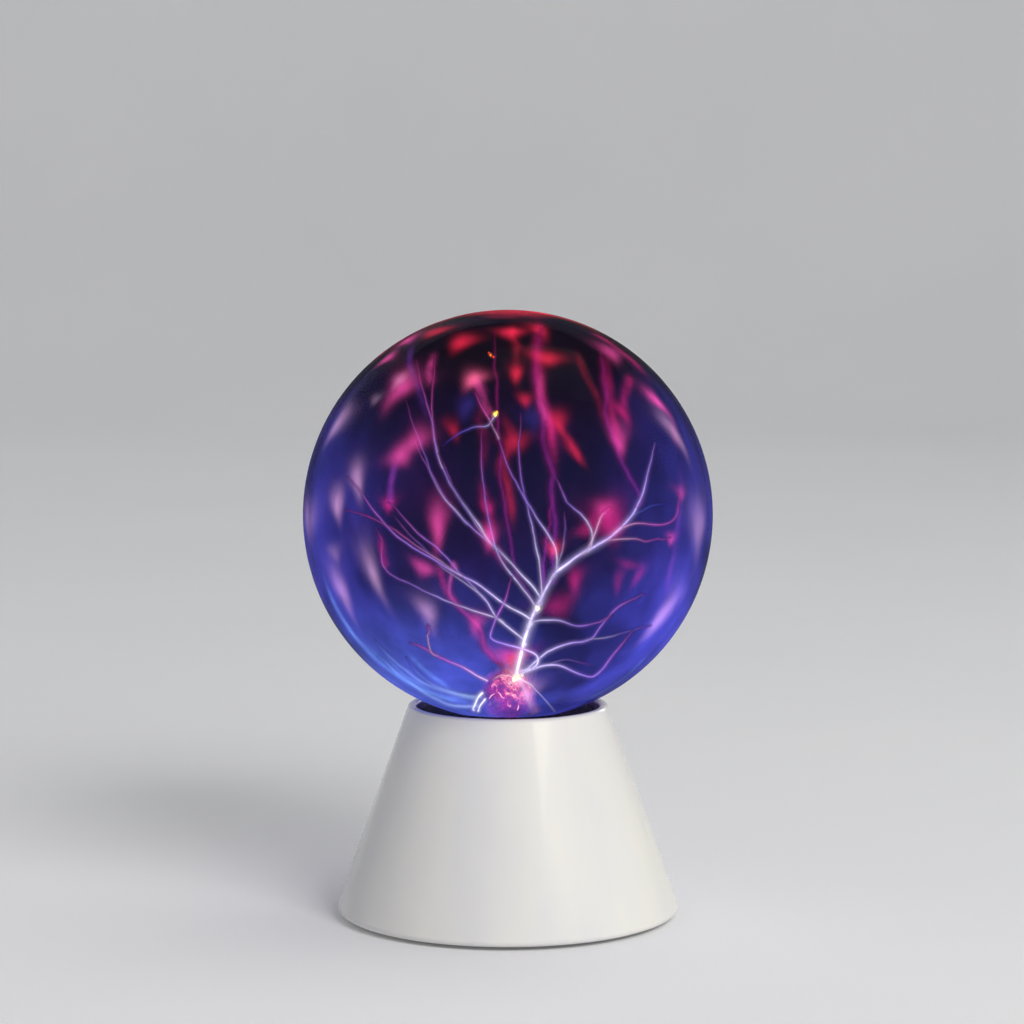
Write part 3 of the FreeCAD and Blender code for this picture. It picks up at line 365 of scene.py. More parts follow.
class Pile:
    """Tubes and beads gathered into one mesh."""

    def __init__(self):
        self.points, self.faces, self.glow, self.count = [], [], [], 0

    def tube(self, line, radii, colours, sides=6):
        line = np.asarray(line, float)
        ways = np.gradient(line, axis=0)
        ways /= np.linalg.norm(ways, axis=1)[:, None]
        side = np.cross(ways[0], (0.31, 0.87, 0.38))
        for i, way in enumerate(ways):
            side = side - way * (side @ way)
            side = side / np.linalg.norm(side)
            other = np.cross(way, side)
            turns = [2 * math.pi * k / sides for k in range(sides)]
            self.points.append([line[i] + radii[i] * (math.cos(t) * side + math.sin(t) * other)
                                for t in turns])
            self.glow.append(np.tile(colours[i], (sides, 1)))
        n, first = len(line), self.count
        for i in range(n - 1):
            for k in range(sides):
                a, b = first + i * sides + k, first + i * sides + (k + 1) % sides
                self.faces.append((a, b, b + sides, a + sides))
        self.faces.append(tuple(first + k for k in reversed(range(sides))))
        self.faces.append(tuple(first + (n - 1) * sides + k for k in range(sides)))
        self.count += n * sides

    def bead(self, centre, radius, colour, seed, rough=0.12, level=3, squash=(1, 1, 1)):
        ball = bmesh.new()
        bmesh.ops.create_icosphere(ball, subdivisions=level, radius=1.0)
        shift = Vector((seed * 3.1, seed * 1.7, 0))
        for v in ball.verts:
            swell = 1 + rough * noise.noise(v.co * 1.8 + shift)
            self.points.append([[c + radius * swell * x * q for c, x, q in zip(centre, v.co, squash)]])
        self.glow.append(np.tile(colour, (len(ball.verts), 1)))
        self.faces.extend(tuple(self.count + v.index for v in f.verts) for f in ball.faces)
        self.count += len(ball.verts)
        ball.free()

    def build(self, name, material, painted=True):
        points = np.concatenate([np.asarray(p, float).reshape(-1, 3) for p in self.points])
        glow = np.concatenate(self.glow) if painted else None
        return made(name, points, self.faces, material, glow)


def lathe(profile, turns):
    """Points and faces of a closed profile (radius, height) turned about Z."""
    points, faces, n = [], [], len(profile)
    for k in range(turns):
        a = 2 * math.pi * k / turns
        points += [(r * math.cos(a), r * math.sin(a), z) for r, z in profile]
        nxt = (k + 1) % turns
        faces += [(k * n + i, nxt * n + i, nxt * n + (i + 1) % n, k * n + (i + 1) % n) for i in range(n)]
    return points, faces


def smooth_line(points, spacing):
    """Even steps along a soft curve through the points."""
    p = [np.asarray(q, float) for q in points]
    p = [2 * p[0] - p[1]] + p + [2 * p[-1] - p[-2]]
    dense = []
    for a, b, c, d in zip(p, p[1:], p[2:], p[3:]):
        for t in np.linspace(0, 1, 12, endpoint=False):
            dense.append(0.5 * ((2 * b) + (c - a) * t + (2 * a - 5 * b + 4 * c - d) * t ** 2
                                + (3 * b - a - 3 * c + d) * t ** 3))
    dense.append(p[-2])
    dense = np.array(dense)
    steps = np.r_[0, np.cumsum(np.linalg.norm(np.diff(dense, axis=0), axis=1))]
    count = max(4, int(steps[-1] / spacing))
    want = np.linspace(0, steps[-1], count)
    return np.stack([np.interp(want, steps, dense[:, i]) for i in range(3)], axis=1)


# ---- the glow on the glass
def rise(value, low, high):
    t = np.clip((value - low) / (high - low), 0, 1)
    return t * t * (3 - 2 * t)


LILAC = (0.40, 0.22, 0.36)
PALE = (0.50, 0.25, 0.40)
PINK = tone(222, 70, 150)
MAGENTA = tone(185, 26, 100)
RED = tone(206, 32, 62)
BLUE = tone(56, 60, 172)
CYAN = tone(112, 160, 225)
VIOLET = tone(60, 14, 90)
WARP = 0.020  # how far the blobs and streaks are bent out of shape
SHADES = {
    "LILAC": LILAC, "PALE": PALE, "PINK": PINK, "MAGENTA": MAGENTA, "RED": RED, "ROSE": tone(250, 100, 150),
    "EMBER": tone(240, 60, 90), "GLARE": tone(240, 50, 90), "INDIGO": tone(64, 54, 150),
    "DEEP": tone(64, 50, 150),
}
# across and up (in globe radii, seen from the front), half width, half height, turn in degrees, side, colour,
# strength
BLOBS = """
-.833 .44 .05 .085 -22 -1 LILAC .9; -.735 .16 .036 .085 12 1 PALE .8; -.833 .05 .036 .065 20 -1 PALE .9;
-.975 -.02 .1 .08 0 -1 LILAC .5; -.845 -.19 .045 .035 0 1 LILAC .35; -.812 -.39 .042 .1 14 -1 PALE .85;
-.665 -.29 .036 .12 8 1 LILAC .9; .931 -.06 .07 .12 5 -1 LILAC .75; .756 -.5 .045 .12 -16 1 PALE .85;
-.525 .62 .062 .085 -8 -1 PINK .9; -.53 .655 .034 .045 0 -1 PALE .5; -.518 .3 .055 .05 40 1 PINK .75;
-.45 .36 .04 .06 -30 -1 PINK .6; -.495 .85 .045 .05 -30 -1 PINK .9; -.595 .76 .04 .045 -35 1 PINK .8;
-.35 .895 .05 .045 20 -1 RED 1.0; -.224 .84 .042 .06 -10 1 RED 1.0; -.172 .655 .034 .05 -20 -1 ROSE .95;
-.42 -.27 .035 .03 -20 -1 PINK .9; -.395 -.49 .04 .09 0 1 PALE .6; .5 .79 .05 .06 -30 -1 PINK .8;
.84 .1 .03 .03 0 -1 PINK .5; .8 -.12 .028 .026 0 1 PINK .8; .217 -.17 .024 .03 0 -1 EMBER 1.0;
-.343 -.05 .03 .085 -4 -1 PINK .95; -.581 .05 .03 .035 0 1 MAGENTA .8; -.098 -.11 .024 .04 0 -1 PINK .8;
-.098 .03 .02 .035 0 1 MAGENTA .9; .5 -.03 .06 .075 15 -1 MAGENTA 1.0; .4 -.07 .05 .03 35 1 MAGENTA .6;
.47 .02 .035 .035 0 1 PINK .4; .545 .37 .035 .065 -14 -1 PINK .9; .56 .5 .03 .055 10 1 MAGENTA .7;
.25 -.45 .07 .055 30 1 MAGENTA .5; .335 -.33 .026 .05 -4 -1 MAGENTA .9; .55 -.33 .022 .05 10 1 MAGENTA .4;
.64 -.3 .022 .05 -20 1 MAGENTA .4; .59 -.25 .05 .02 0 1 MAGENTA .35; -.16 -.53 .026 .05 -20 -1 PINK .7;
-.27 .42 .024 .05 22 1 RED .5; .021 .885 .045 .045 0 -1 RED 1.2; .04 .69 .022 .055 0 1 RED .9;
.185 .765 .06 .045 -12 -1 RED 1.0; .15 .9 .035 .075 4 1 RED .8; .09 .565 .022 .03 0 -1 RED .8;
.045 .35 .05 .04 0 1 RED .5; .24 .46 .03 .05 0 -1 RED .7; .33 .3 .02 .06 38 1 RED .55;
.125 .46 .045 .07 0 1 INDIGO .42; -.2 .53 .045 .07 0 1 DEEP .4; .015 -.71 .055 .05 0 -1 GLARE .9;
.1 -.88 .035 .09 -8 -1 PALE .8; .81 .4 .035 .1 20 -1 PALE .8; .73 .55 .03 .08 38 1 PINK .8;
-.64 .57 .03 .03 0 1 LILAC .4"""
# side, colour, strength, half width, points across and up in globe radii
STREAKS = [
    (1, MAGENTA, 0.8, 0.024, ".155,.95 .148,.756 .169,.548 .218,.355 .225,.215"),
    (-1, PINK, 0.5, 0.018, ".16,.70 .172,.54 .21,.40"),
    (1, RED, 0.28, 0.020, ".337,.81 .393,.659 .463,.495 .52,.40"),
    (1, MAGENTA, 0.75, 0.026, ".477,.80 .484,.637 .519,.42 .547,.29"),
    (-1, MAGENTA, 0.5, 0.020, ".60,.68 .575,.60 .561,.50"),
    (1, MAGENTA, 0.45, 0.035, ".393,.90 .547,.80 .673,.68"),
    (-1, PINK, 0.35, 0.022, ".673,.60 .785,.50 .82,.33"),
    (1, RED, 0.5, 0.019, ".225,.46 .309,.345 .379,.262"),
    (1, RED, 0.42, 0.024, "-.027,.49 .029,.371 -.027,.256 .001,.117 .008,-.064"),
    (-1, PINK, 0.75, 0.019, "-.167,.66 -.111,.54 -.058,.475"),
    (1, PINK, 0.4, 0.019, "-.363,.80 -.377,.62"),
    (-1, MAGENTA, 0.3, 0.019, "-.153,.54 -.12,.40 -.125,.22"),
    (1, MAGENTA, 0.5, 0.019, "-.139,.179 -.10,.028 -.083,-.125 .0,-.28"),
    (1, tone(110, 40, 130), 0.6, 0.020, "-.545,.27 -.565,.15 -.573,.03"),
    (-1, MAGENTA, 0.5, 0.018, "-.629,-.088 -.615,-.20 -.60,-.28"),
    (1, tone(110, 45, 130), 0.5, 0.022, ".841,.238 .841,.028 .80,-.255 .77,-.40"),
    (-1, MAGENTA, 0.6, 0.020, "-.175,-.52 -.16,-.59 -.097,-.66 -.041,-.739"),
    (1, MAGENTA, 0.5, 0.018, "-.335,-.23 -.29,-.39 -.224,-.48"),
    (-1, RED, 0.22, 0.016, ".02,.93 .035,.78 .04,.66"),
    (1, RED, 0.55, 0.030, "-.46,.885 -.28,.957 -.05,.995 .18,.98 .36,.93 .50,.862"),
    (1, MAGENTA, 0.45, 0.028, "-.66,.745 -.56,.825 -.46,.885"),
    (1, tone(100, 50, 150), 0.28, 0.016, "-.47,.85 -.44,.62 -.38,.45"),
    (1, CYAN, 0.45, 0.026, "-.90,-.30 -.82,-.50 -.70,-.66 -.55,-.79 -.40,-.875 -.22,-.925"),
    (-1, CYAN, 0.34, 0.018, "-.74,-.60 -.60,-.735 -.44,-.86 -.28,-.915 -.14,-.925"),
    (-1, CYAN, 0.26, 0.018, "-.64,-.66 -.47,-.82 -.30,-.90 -.15,-.895"),
    (1, CYAN, 0.24, 0.018, "-.48,-.69 -.40,-.78 -.27,-.87"),
    (-1, CYAN, 0.20, 0.020, ".35,-.93 .55,-.82 .70,-.68"),
]


def on_wall(u, v, side):
    """The way to the glass at (u, v), seen from the front, on the near side (-1) or the far side (1)."""
    ray = CENTRE + R * Vector((u, 0, v)) - CAMERA_AT
    start = CAMERA_AT - CENTRE
    square, half = ray.dot(ray), ray.dot(start)
    room = max(0.0, half * half - square * (start.dot(start) - R * R))
    hit = start + ray * ((-half + side * math.sqrt(room)) / square)
    return np.array(hit.normalized())


def glow_on(ways):
    """The glow's colour on the glass, for unit directions from the globe's centre."""
    x, _, z = ways.T
    slow = np.array([noise.fractal(Vector(w) * 1.9 + Vector((3, 1, 7)), 0.9, 2.1, 3) for w in ways])
    streak = np.array([noise.fractal(Vector((w[0] * 6, w[1] * 6, w[2] * 1.5)), 0.8, 2.0, 3) for w in ways])
    low = rise(-z, 0.12, 0.85)
    wide = rise(np.abs(x + 0.05), 0.42, 0.98) * rise(-z, -0.95, 0.1)
    deep = rise(-z, 0.35, 1.0) * rise(-x, -0.35, 0.75)
    belt = rise(0.9 - np.abs(z), 0, 0.7) * np.clip(0.5 + 1.5 * slow, 0, 1)
    crown = rise(z, 0.962, 0.994) * np.clip(0.9 + 1.2 * streak, 0, 1.6)
    haze = (0.40 * low + 0.24 * wide) * np.clip(1 + 1.3 * slow + 0.4 * streak, 0.15, 1.8)
    colour = np.tile((0.0035, 0.0025, 0.0040), (len(ways), 1))
    for shade, light in ((BLUE, haze), (CYAN, 0.11 * deep), (VIOLET, 0.10 * belt), (RED, 0.42 * crown)):
        colour += np.array(shade) * light[:, None]
    bent = ways + WARP * np.array([noise.noise_vector(Vector(w) * 7)[:] for w in ways])
    for row in BLOBS.split(";"):
        *numbers, shade, strength = row.split()
        u, v, a, b, turn, side = map(float, numbers)
        centre = on_wall(u, v, side)
        east = np.cross((0, 0, 1.0), centre)
        east /= max(1e-6, np.linalg.norm(east))
        east = east if east[0] > 0 else -east
        north = np.cross(east, centre)
        north = north if north[2] > 0 else -north
        gap = bent - centre
        e, n = gap @ east, gap @ north
        c, s = math.cos(math.radians(turn)), math.sin(math.radians(turn))
        q = (-s * e + c * n) / b
        p = (c * e + s * n) / a * np.exp(np.clip(-0.4 * q, -1, 1))
        fall = np.exp(-0.9 * (p * p + q * q)) * (np.linalg.norm(gap, axis=1) < 0.8)
        colour += np.array(SHADES[shade]) * (float(strength) * fall)[:, None]
    for side, shade, strength, wide_by, text in STREAKS:
        stops = [on_wall(*(float(c) for c in pair.split(",")), side) for pair in text.split()]
        line = smooth_line(stops, 0.02)
        line /= np.linalg.norm(line, axis=1)[:, None]
        near = np.full(len(bent), 9.0)
        along = np.zeros(len(bent))
        for k, point in enumerate(line):
            gap = np.linalg.norm(bent - point, axis=1)
            closer = gap < near
            near[closer], along[closer] = gap[closer], k / (len(line) - 1)
        ends = np.clip(5 * along, 0.1, 1) * np.clip(5 * (1 - along), 0.1, 1)
        uneven = np.clip(1 + 1.0 * slow + 0.4 * streak, 0.35, 1.7)
        colour += np.array(shade) * (strength * ends * uneven * np.exp(-(near / wide_by) ** 2))[:, None]
    return np.clip(colour, 0, 3)


def gas_glow():
    """The far wall is an opaque near-black sheet, painted darkness where one would see through the globe,
    with the gas's glow painted on it; the near wall only adds a little light.
    """
    ball = bmesh.new()
    bmesh.ops.create_icosphere(ball, subdivisions=7, radius=1.0)
    ways = np.array([v.co[:] for v in ball.verts])
    ways /= np.linalg.norm(ways, axis=1)[:, None]
    faces = [tuple(v.index for v in reversed(f.verts)) for f in ball.faces]
    ball.free()
    s = Shader("gas_glow")
    fine = s.noise(120.0, 5.0, 0.6, s.stretched((1, 1, 0.45)))
    paint = s.painted(s.levels(fine, 0.72, 1.28, 0.3, 0.7))
    # painted shade: the wall's near-black colour stands in for the dark seen through the globe
    wall = s.principled(Base_Color=(0.004, 0.003, 0.006), Roughness=0.6, Specular_IOR_Level=0.0,
                        Emission_Color=paint, Emission_Strength=1.0)
    near = s.add(s.clear(), s.emission(paint, 0.9))
    side = s.node("NewGeometry", "Backfacing", {})
    material = s.done(s.mix(side, wall, near), glow=True)
    material.use_backface_culling = True
    points = ways * GAS_R + np.array(CENTRE)
    return made("gas_glow", points, faces, material, glow_on(ways))


def limb_glow():
    """A thin shell of glowing gas inside the glass: brighter edge on, and thinner at the top."""
    ball = bmesh.new()
    bmesh.ops.create_icosphere(ball, subdivisions=6, radius=1.0)
    reach = R - GLASS - 0.0004
    ways = [v.co.normalized() for v in ball.verts]
    points = [CENTRE + w * reach for w in ways]
    for w in ways:
        full = float(rise(0.82 - w.z, 0.0, 0.80))
        wisp = 1 + 0.7 * noise.fractal(Vector((w.x * 3, w.y * 3, w.z * 1.4)), 0.9, 2.0, 3)
        points.append(CENTRE + w * (reach - 0.0002 - 0.0040 * full * max(0.25, wisp)))
    count = len(ways)
    outer = [tuple(v.index for v in f.verts) for f in ball.faces]
    inner = [tuple(count + i for i in reversed(f)) for f in outer]
    ball.free()
    s = Shader("limb_glow")
    s.put(s.out.inputs["Volume"], s.emission(tone(62, 68, 184), 6.5))
    return made("limb_glow", points, outer + inner, s.done(s.clear(), glow=True))


# ---- the discharge
def seen_at(u, v, y):
    """The point that the front camera sees at (u, v), in globe radii, at depth y."""
    flat = CENTRE + R * Vector((u, 0, v))
    p = CAMERA_AT + (flat - CAMERA_AT) * ((y - CAMERA_AT.y) / -CAMERA_AT.y)
    away = p - CENTRE
    return CENTRE + away.normalized() * STREAMER_REACH if away.length > STREAMER_REACH else p


# name, parent, side, root width, tip width (mm), brightness, kind, points across and up in globe radii
BOLTS = [
    ("trunk", None, -0.9, 0.95, 0.34, 1.6, "trunk",
     ".042,-.786 .084,-.597 .147,-.45 .203,-.33 .252,-.268 .406,-.17 .504,-.106 .588,-.022 .637,.062 "
     ".679,.188 .721,.356"),
    ("left_1", "trunk", -0.8, 0.42, 0.16, 1.1, "bolt",
     ".112,-.49 0,-.443 -.168,-.33 -.322,-.246 -.462,-.162 -.602,-.05 -.728,.118 -.784,.188"),
    ("left_2", "trunk", 0.8, 0.40, 0.15, 1.0, "bolt",
     ".07,-.59 -.056,-.5 -.112,-.415 -.224,-.303 -.322,-.19 -.448,-.078 -.588,.062"),
    ("left_3", "left_2", -0.9, 0.26, 0.16, 0.75, "bolt",
     "-.084,-.492 -.238,-.45 -.392,-.387 -.504,-.331 -.602,-.26 -.616,-.134 -.644,-.064"),
    ("hook", None, -0.4, 0.44, 0.20, 1.35, "bolt",
     ".045,-.775 .12,-.755 .148,-.72 .133,-.685 .056,-.653 -.063,-.618 -.085,-.59 -.066,-.53 -.028,-.443 "
     ".021,-.303"),
    ("low_left", None, -0.8, 0.30, 0.16, 0.95, "pink",
     "-.10,-.82 -.196,-.765 -.308,-.709 -.399,-.66 -.483,-.632"),
    ("low_left_up", "low_left", 0.7, 0.14, 0.2, 0.5, "pink", "-.399,-.66 -.392,-.60 -.388,-.54"),
    ("arc_1", None, 0.5, 0.34, 0.25, 0.9, "mist",
     "-.147,-.919 -.28,-.905 -.434,-.835 -.574,-.709 -.658,-.611"),
    ("arc_2", None, -0.5, 0.34, 0.2, 0.8, "mist", "-.14,-.945 -.26,-.945 -.40,-.885 -.54,-.78 -.64,-.69"),
    ("arc_3", None, -0.6, 0.28, 0.2, 0.6, "mist", "-.13,-.90 -.24,-.885 -.36,-.84 -.44,-.78 -.50,-.70"),
    ("loop_1", None, -0.9, 0.36, 0.30, 1.5, "white",
     "-.126,-.88 -.15,-.91 -.166,-.95 -.171,-1.0 -.168,-1.03"),
    ("loop_2", None, -0.95, 0.30, 0.26, 1.3, "white",
     "-.112,-.91 -.134,-.935 -.146,-.965 -.15,-1.0 -.152,-1.03"),
    ("low_right", None, -0.8, 0.44, 0.18, 1.2, "bolt",
     ".06,-.783 .098,-.772 .196,-.745 .28,-.755 .392,-.797 .448,-.78 .532,-.677 .616,-.574"),
    ("right_2", "low_right", 0.8, 0.44, 0.18, 1.1, "bolt",
     ".11,-.765 .147,-.715 .196,-.676 .294,-.635 .406,-.608 .462,-.541 .546,-.452 .672,-.389"),
    ("right_3", "trunk", -0.85, 0.34, 0.2, 0.85, "bolt", ".13,-.51 .252,-.519 .35,-.548 .448,-.528 .52,-.49"),
    ("up_1", "trunk", 0.9, 0.34, 0.14, 0.8, "bolt", ".168,-.359 .154,-.233 .098,.006 .056,.23 .063,.496"),
    ("up_2", "trunk", -0.8, 0.32, 0.15, 0.9, "bolt", ".252,-.254 .224,-.149 .126,-.0 .014,.202 -.072,.43"),
    ("up_3", "up_2", -0.8, 0.18, 0.14, 0.7, "pink", "-.072,.43 -.12,.52 -.17,.61"),
    ("up_left_1", "trunk", 0.85, 0.36, 0.15, 0.95, "bolt",
     ".14,-.359 .028,-.246 -.098,-.134 -.224,-.022 -.308,.075 -.392,.235 -.462,.37"),
    ("up_left_2", "up_left_1", -0.85, 0.3, 0.13, 0.85, "bolt",
     "-.098,-.134 -.196,.022 -.28,.157 -.343,.293 -.378,.473 -.448,.75"),
    ("up_left_3", "trunk", -0.9, 0.34, 0.14, 0.8, "bolt",
     ".14,-.429 .014,-.289 -.056,-.18 -.098,.0 -.126,.222 -.126,.418"),
    ("wide_up", "trunk", 0.9, 0.3, 0.42, 0.38, "magenta",
     ".182,-.18 .21,.13 .224,.215 .182,.353 .154,.575 .133,.686 .168,.898"),
    ("twig_1", "trunk", 0.7, 0.34, 0.16, 0.8, "bolt", ".42,-.14 .406,-.068 .35,0 .28,.079 .224,.2"),
    ("twig_2", "trunk", 0.75, 0.32, 0.2, 0.7, "pink", ".413,-.14 .448,-.023 .504,.036"),
    ("twig_3", "trunk", -0.8, 0.26, 0.16, 0.75, "pink", ".56,-.045 .63,-.04 .742,-.047 .812,-.015 .84,.112"),
    ("twig_4", "trunk", 0.8, 0.24, 0.14, 0.5, "pink", ".497,-.111 .588,-.113 .686,-.128 .798,-.114"),
    ("right_up", "trunk", 0.8, 0.2, 0.42, 0.36, "magenta", ".644,.11 .56,.264 .504,.40 .476,.567 .462,.804"),
    ("left_4", "left_1", -0.85, 0.2, 0.15, 0.55, "pink", "-.29,-.27 -.43,-.165 -.576,-.063 -.70,.0 -.80,.03"),
    ("left_5", "left_2", -0.6, 0.2, 0.13, 0.5, "bolt", "-.16,-.365 -.28,-.29 -.40,-.17 -.50,-.075 -.575,.02"),
    ("up_left_4", "up_left_2", -0.9, 0.18, 0.15, 0.6, "pink", "-.343,.293 -.368,.42 -.37,.60 -.352,.80"),
    ("up_left_5", "up_left_1", 0.7, 0.2, 0.14, 0.55, "bolt",
     "-.24,-.005 -.34,.13 -.41,.30 -.47,.46 -.50,.56"),
    ("up_left_6", "up_left_1", -0.7, 0.2, 0.12, 0.5, "bolt",
     "-.03,-.19 -.12,-.10 -.20,.02 -.27,.15 -.33,.30"),
    ("up_4", "trunk", -0.6, 0.22, 0.13, 0.5, "bolt", ".252,-.268 .270,-.16 .28,-.06 .278,.02"),
    ("up_5", "trunk", 0.8, 0.2, 0.15, 0.5, "magenta", ".165,-.36 .185,-.22 .20,-.05 .218,.10"),
    ("right_4", "right_2", -0.8, 0.16, 0.13, 0.4, "bolt", ".42,-.60 .50,-.60 .60,-.575 .70,-.545"),
    ("right_5", "low_right", -0.7, 0.18, 0.12, 0.4, "bolt", ".20,-.745 .26,-.715 .33,-.72 .42,-.74"),
    ("right_6", "trunk", -0.7, 0.16, 0.2, 0.4, "blue", ".60,.01 .66,.02 .72,.045 .80,.055"),
    ("left_back", "left_2", 0.9, 0.2, 0.22, 0.45, "rose",
     "-.322,-.246 -.28,-.387 -.224,-.471 -.14,-.583 -.084,-.695 -.028,-.765"),
    ("centre_up", "trunk", 0.9, 0.2, 0.14, 0.34, "magenta",
     ".10,-.42 .014,-.162 -.021,.118 -.035,.258 -.056,.636 -.056,.888"),
    # this blue-white arc from the yellow dots is a painted reflection, part of the same glint, drawn as a
    # streamer
    ("painted_glint_arc", None, -0.85, 0.3, 0.12, 0.6, "blue", "-.062,.486 -.10,.44 -.17,.43 -.25,.395 -.322,.328"),
]
KINDS = {
    "trunk": (tone(240, 234, 255), tone(206, 190, 245), tone(165, 130, 225)),
    "bolt": (tone(232, 222, 255), tone(160, 122, 222), tone(190, 90, 175)),
    "pink": (tone(250, 200, 230), tone(220, 100, 180), tone(215, 60, 130)),
    "magenta": (tone(150, 50, 150), tone(175, 32, 100), tone(205, 36, 70)),
    "white": (tone(255, 252, 255), tone(240, 235, 255), tone(225, 220, 255)),
    "blue": (tone(190, 210, 255), tone(90, 110, 235), tone(60, 70, 200)),
    "mist": (tone(190, 220, 248), tone(150, 190, 240), tone(90, 130, 225)),
    "rose": (tone(225, 100, 150), tone(205, 62, 130), tone(190, 44, 110)),
}
SWELL = {"mist": 1.2, "magenta": 1.9, "rose": 2.2}  # kinds that are haze alone, and how wide it is
SHAKE = {"magenta": 0.0014, "rose": 0.0014}
PLAIN_SHAKE = 0.0007
BRANCH_TIP = 0.955  # where the tips end, in globe radii
LINE_STEP = 0.0012
HALF_MM = 0.0005
CROWN_RED = tone(215, 35, 80)
HALO_BLUE = tone(80, 50, 210)
# radius as a multiple of the core's, share of the light
HALO_STEPS = ((1.5, 0.30), (2.3, 0.17), (3.3, 0.10), (4.7, 0.055), (6.8, 0.028))


def bolt_line(points, start_y, side):
    """A path in space whose front view follows the points, out to the glass."""
    u, v = points[-1]
    room = max(0.0, BRANCH_TIP ** 2 - u * u - v * v)
    end_y = math.copysign(math.sqrt(room) * R * abs(side), side)
    run = np.r_[0, np.cumsum([math.dist(a, b) for a, b in zip(points, points[1:])])]
    share = (run / run[-1]) ** 1.15
    return [seen_at(p[0], p[1], start_y + (end_y - start_y) * t) for p, t in zip(points, share)]


def jitter(line, seed, size):
    """A live, uneven line: small bends that fade out at its root."""
    out = []
    for i, p in enumerate(line):
        ease = min(1.0, 6 * i / (len(line) - 1))
        q = Vector(p) * 55
        shift = [noise.fractal(q + Vector((seed * 7.3 + k * 11, seed, k)), 0.9, 2.2, 3) for k in range(3)]
        out.append(np.asarray(p) + size * ease * np.array(shift))
    return np.array(out)


def branch_from(mother, points):
    """Where a branch leaves its parent: a little below the point nearest to its first stop."""
    first, eye = np.array(seen_at(*points[0], 0.0)), np.array(CAMERA_AT)
    seen = (mother - eye) / (mother[:, 1:2] - CAMERA_AT.y) * -CAMERA_AT.y + eye
    near = int(np.argmin(np.linalg.norm((seen - first)[:, [0, 2]], axis=1)))
    return mother[max(0, near - 5)], mother[max(0, near - 2)], mother[near][1]


def start_depth(kind, side, u, v):
    """How far in front of or behind the middle a streamer starts that has no parent."""
    if kind in ("mist", "white"):
        return math.copysign(0.75 * math.sqrt(max(0.0, 0.93 - u * u - v * v)) * R, side)
    return math.copysign(0.8 * R * 0.8, side) if kind == "blue" else HOT_Y


def streamer_colour(kind, line, t):
    root, middle, tip = (np.array(c) for c in KINDS[kind])
    near_root = rise(1 - t, 0.45, 1.0)[:, None]
    near_tip = rise(t, 0.45, 1.0)[:, None]
    colour = middle * (1 - near_root) * (1 - near_tip) + root * near_root + tip * near_tip
    height = rise((line[:, 2] - CENTRE.z) / R, 0.25, 0.85)[:, None]
    return colour * (1 - 0.6 * height) + np.array(CROWN_RED) * 0.6 * height


def discharge():
    cores, halos, lines = Pile(), Pile(), {}
    for index, (name, parent, side, wide, thin, power, kind, text) in enumerate(BOLTS):
        points = [tuple(float(c) for c in pair.split(",")) for pair in text.split()]
        root_stops = []
        if parent:
            back, close, start_y = branch_from(lines[parent], points)
            root_stops = [back, close]
            points = points[1:]
        else:
            start_y = start_depth(kind, side, *points[0])
        line = smooth_line(root_stops + bolt_line(points, start_y, side), LINE_STEP)
        line = jitter(line, index + 1, SHAKE.get(kind, PLAIN_SHAKE))
        lines[name] = line
        t = np.linspace(0, 1, len(line))
        colour = streamer_colour(kind, line, t)
        pulse = np.array([1 + 0.3 * noise.noise(Vector((index * 5.0, k * 0.15, 0)))
                          for k in range(len(line))])
        fade = np.clip((1 - t) * 5, 0, 1) ** 0.7
        strength = power * pulse * (1 - 0.45 * t) * (0.25 + 0.75 * fade)
        radii = (wide + (thin - wide) * t ** 0.8) * HALF_MM * (0.4 + 0.6 * fade) * (1 + 0.12 * (pulse - 1))
        if kind not in SWELL:
            cores.tube(line, radii, colour * strength[:, None])
        swell = SWELL.get(kind, 1.0)
        for step, (size, share) in enumerate(HALO_STEPS):
            reach = radii * size * swell + 0.00010 * (step + 1)
            tint = colour * 0.7 + np.array(HALO_BLUE) * 0.3
            halos.tube(line, reach, tint * (strength * share * swell)[:, None])
    return cores, halos, lines


def glow_material(name, solid):
    s = Shader(name)
    paint = s.painted(s.levels(s.noise(300.0, 3.0, 0.6), 0.85, 1.15, 0.3, 0.7))
    if solid:
        shader = s.principled(Base_Color=(0.0, 0.0, 0.0), Roughness=0.8, Specular_IOR_Level=0.0,
                              Emission_Color=paint, Emission_Strength=1.25)
    else:
        shader = s.mix(0.08, s.clear(), s.emission(paint, 8.0))
    return s.done(shader, glow=True)


# ---- the electrode
def sparkle():
    """Crumpled metal lit by the discharge: dark purple, pink and white, brightest by the hot spot."""
    s = Shader("electrode_metal")
    coarse = s.noise(230.0, 4.0, 0.65, twist=0.8)
    fine = s.noise(800.0, 3.0, 0.7)
    near = s.levels(s.away_from(HOT_SPOT), 0.17, -0.10, 0.0, 0.014)
    both = s.maths("ADD", s.maths("MULTIPLY", coarse, 0.62), s.maths("MULTIPLY", fine, 0.38))
    glow = s.ramp(s.maths("ADD", both, near),
                  [(0.34, tone(26, 8, 48)), (0.46, tone(84, 12, 84)), (0.54, tone(160, 24, 96)),
                   (0.60, tone(238, 92, 130)), (0.66, tone(255, 190, 190)), (0.74, tone(255, 246, 232))])
    rough = s.levels(fine, 0.2, 0.45)
    return s.done(s.principled(Base_Color=tone(120, 96, 120), Metallic=1.0, Roughness=rough,
                               Normal=s.bump(coarse, 0.0006), Emission_Color=glow, Emission_Strength=1.0),
                  glow=True)


TAIL_STOPS, TAIL_R, TAIL_SWAY = 40, 0.0033, 0.0005
TAIL_TOP_Z = BULB.z - 0.004
WIRE_LOOPS, LOOP_STOPS, LOOP_R = 30, 70, 0.00014


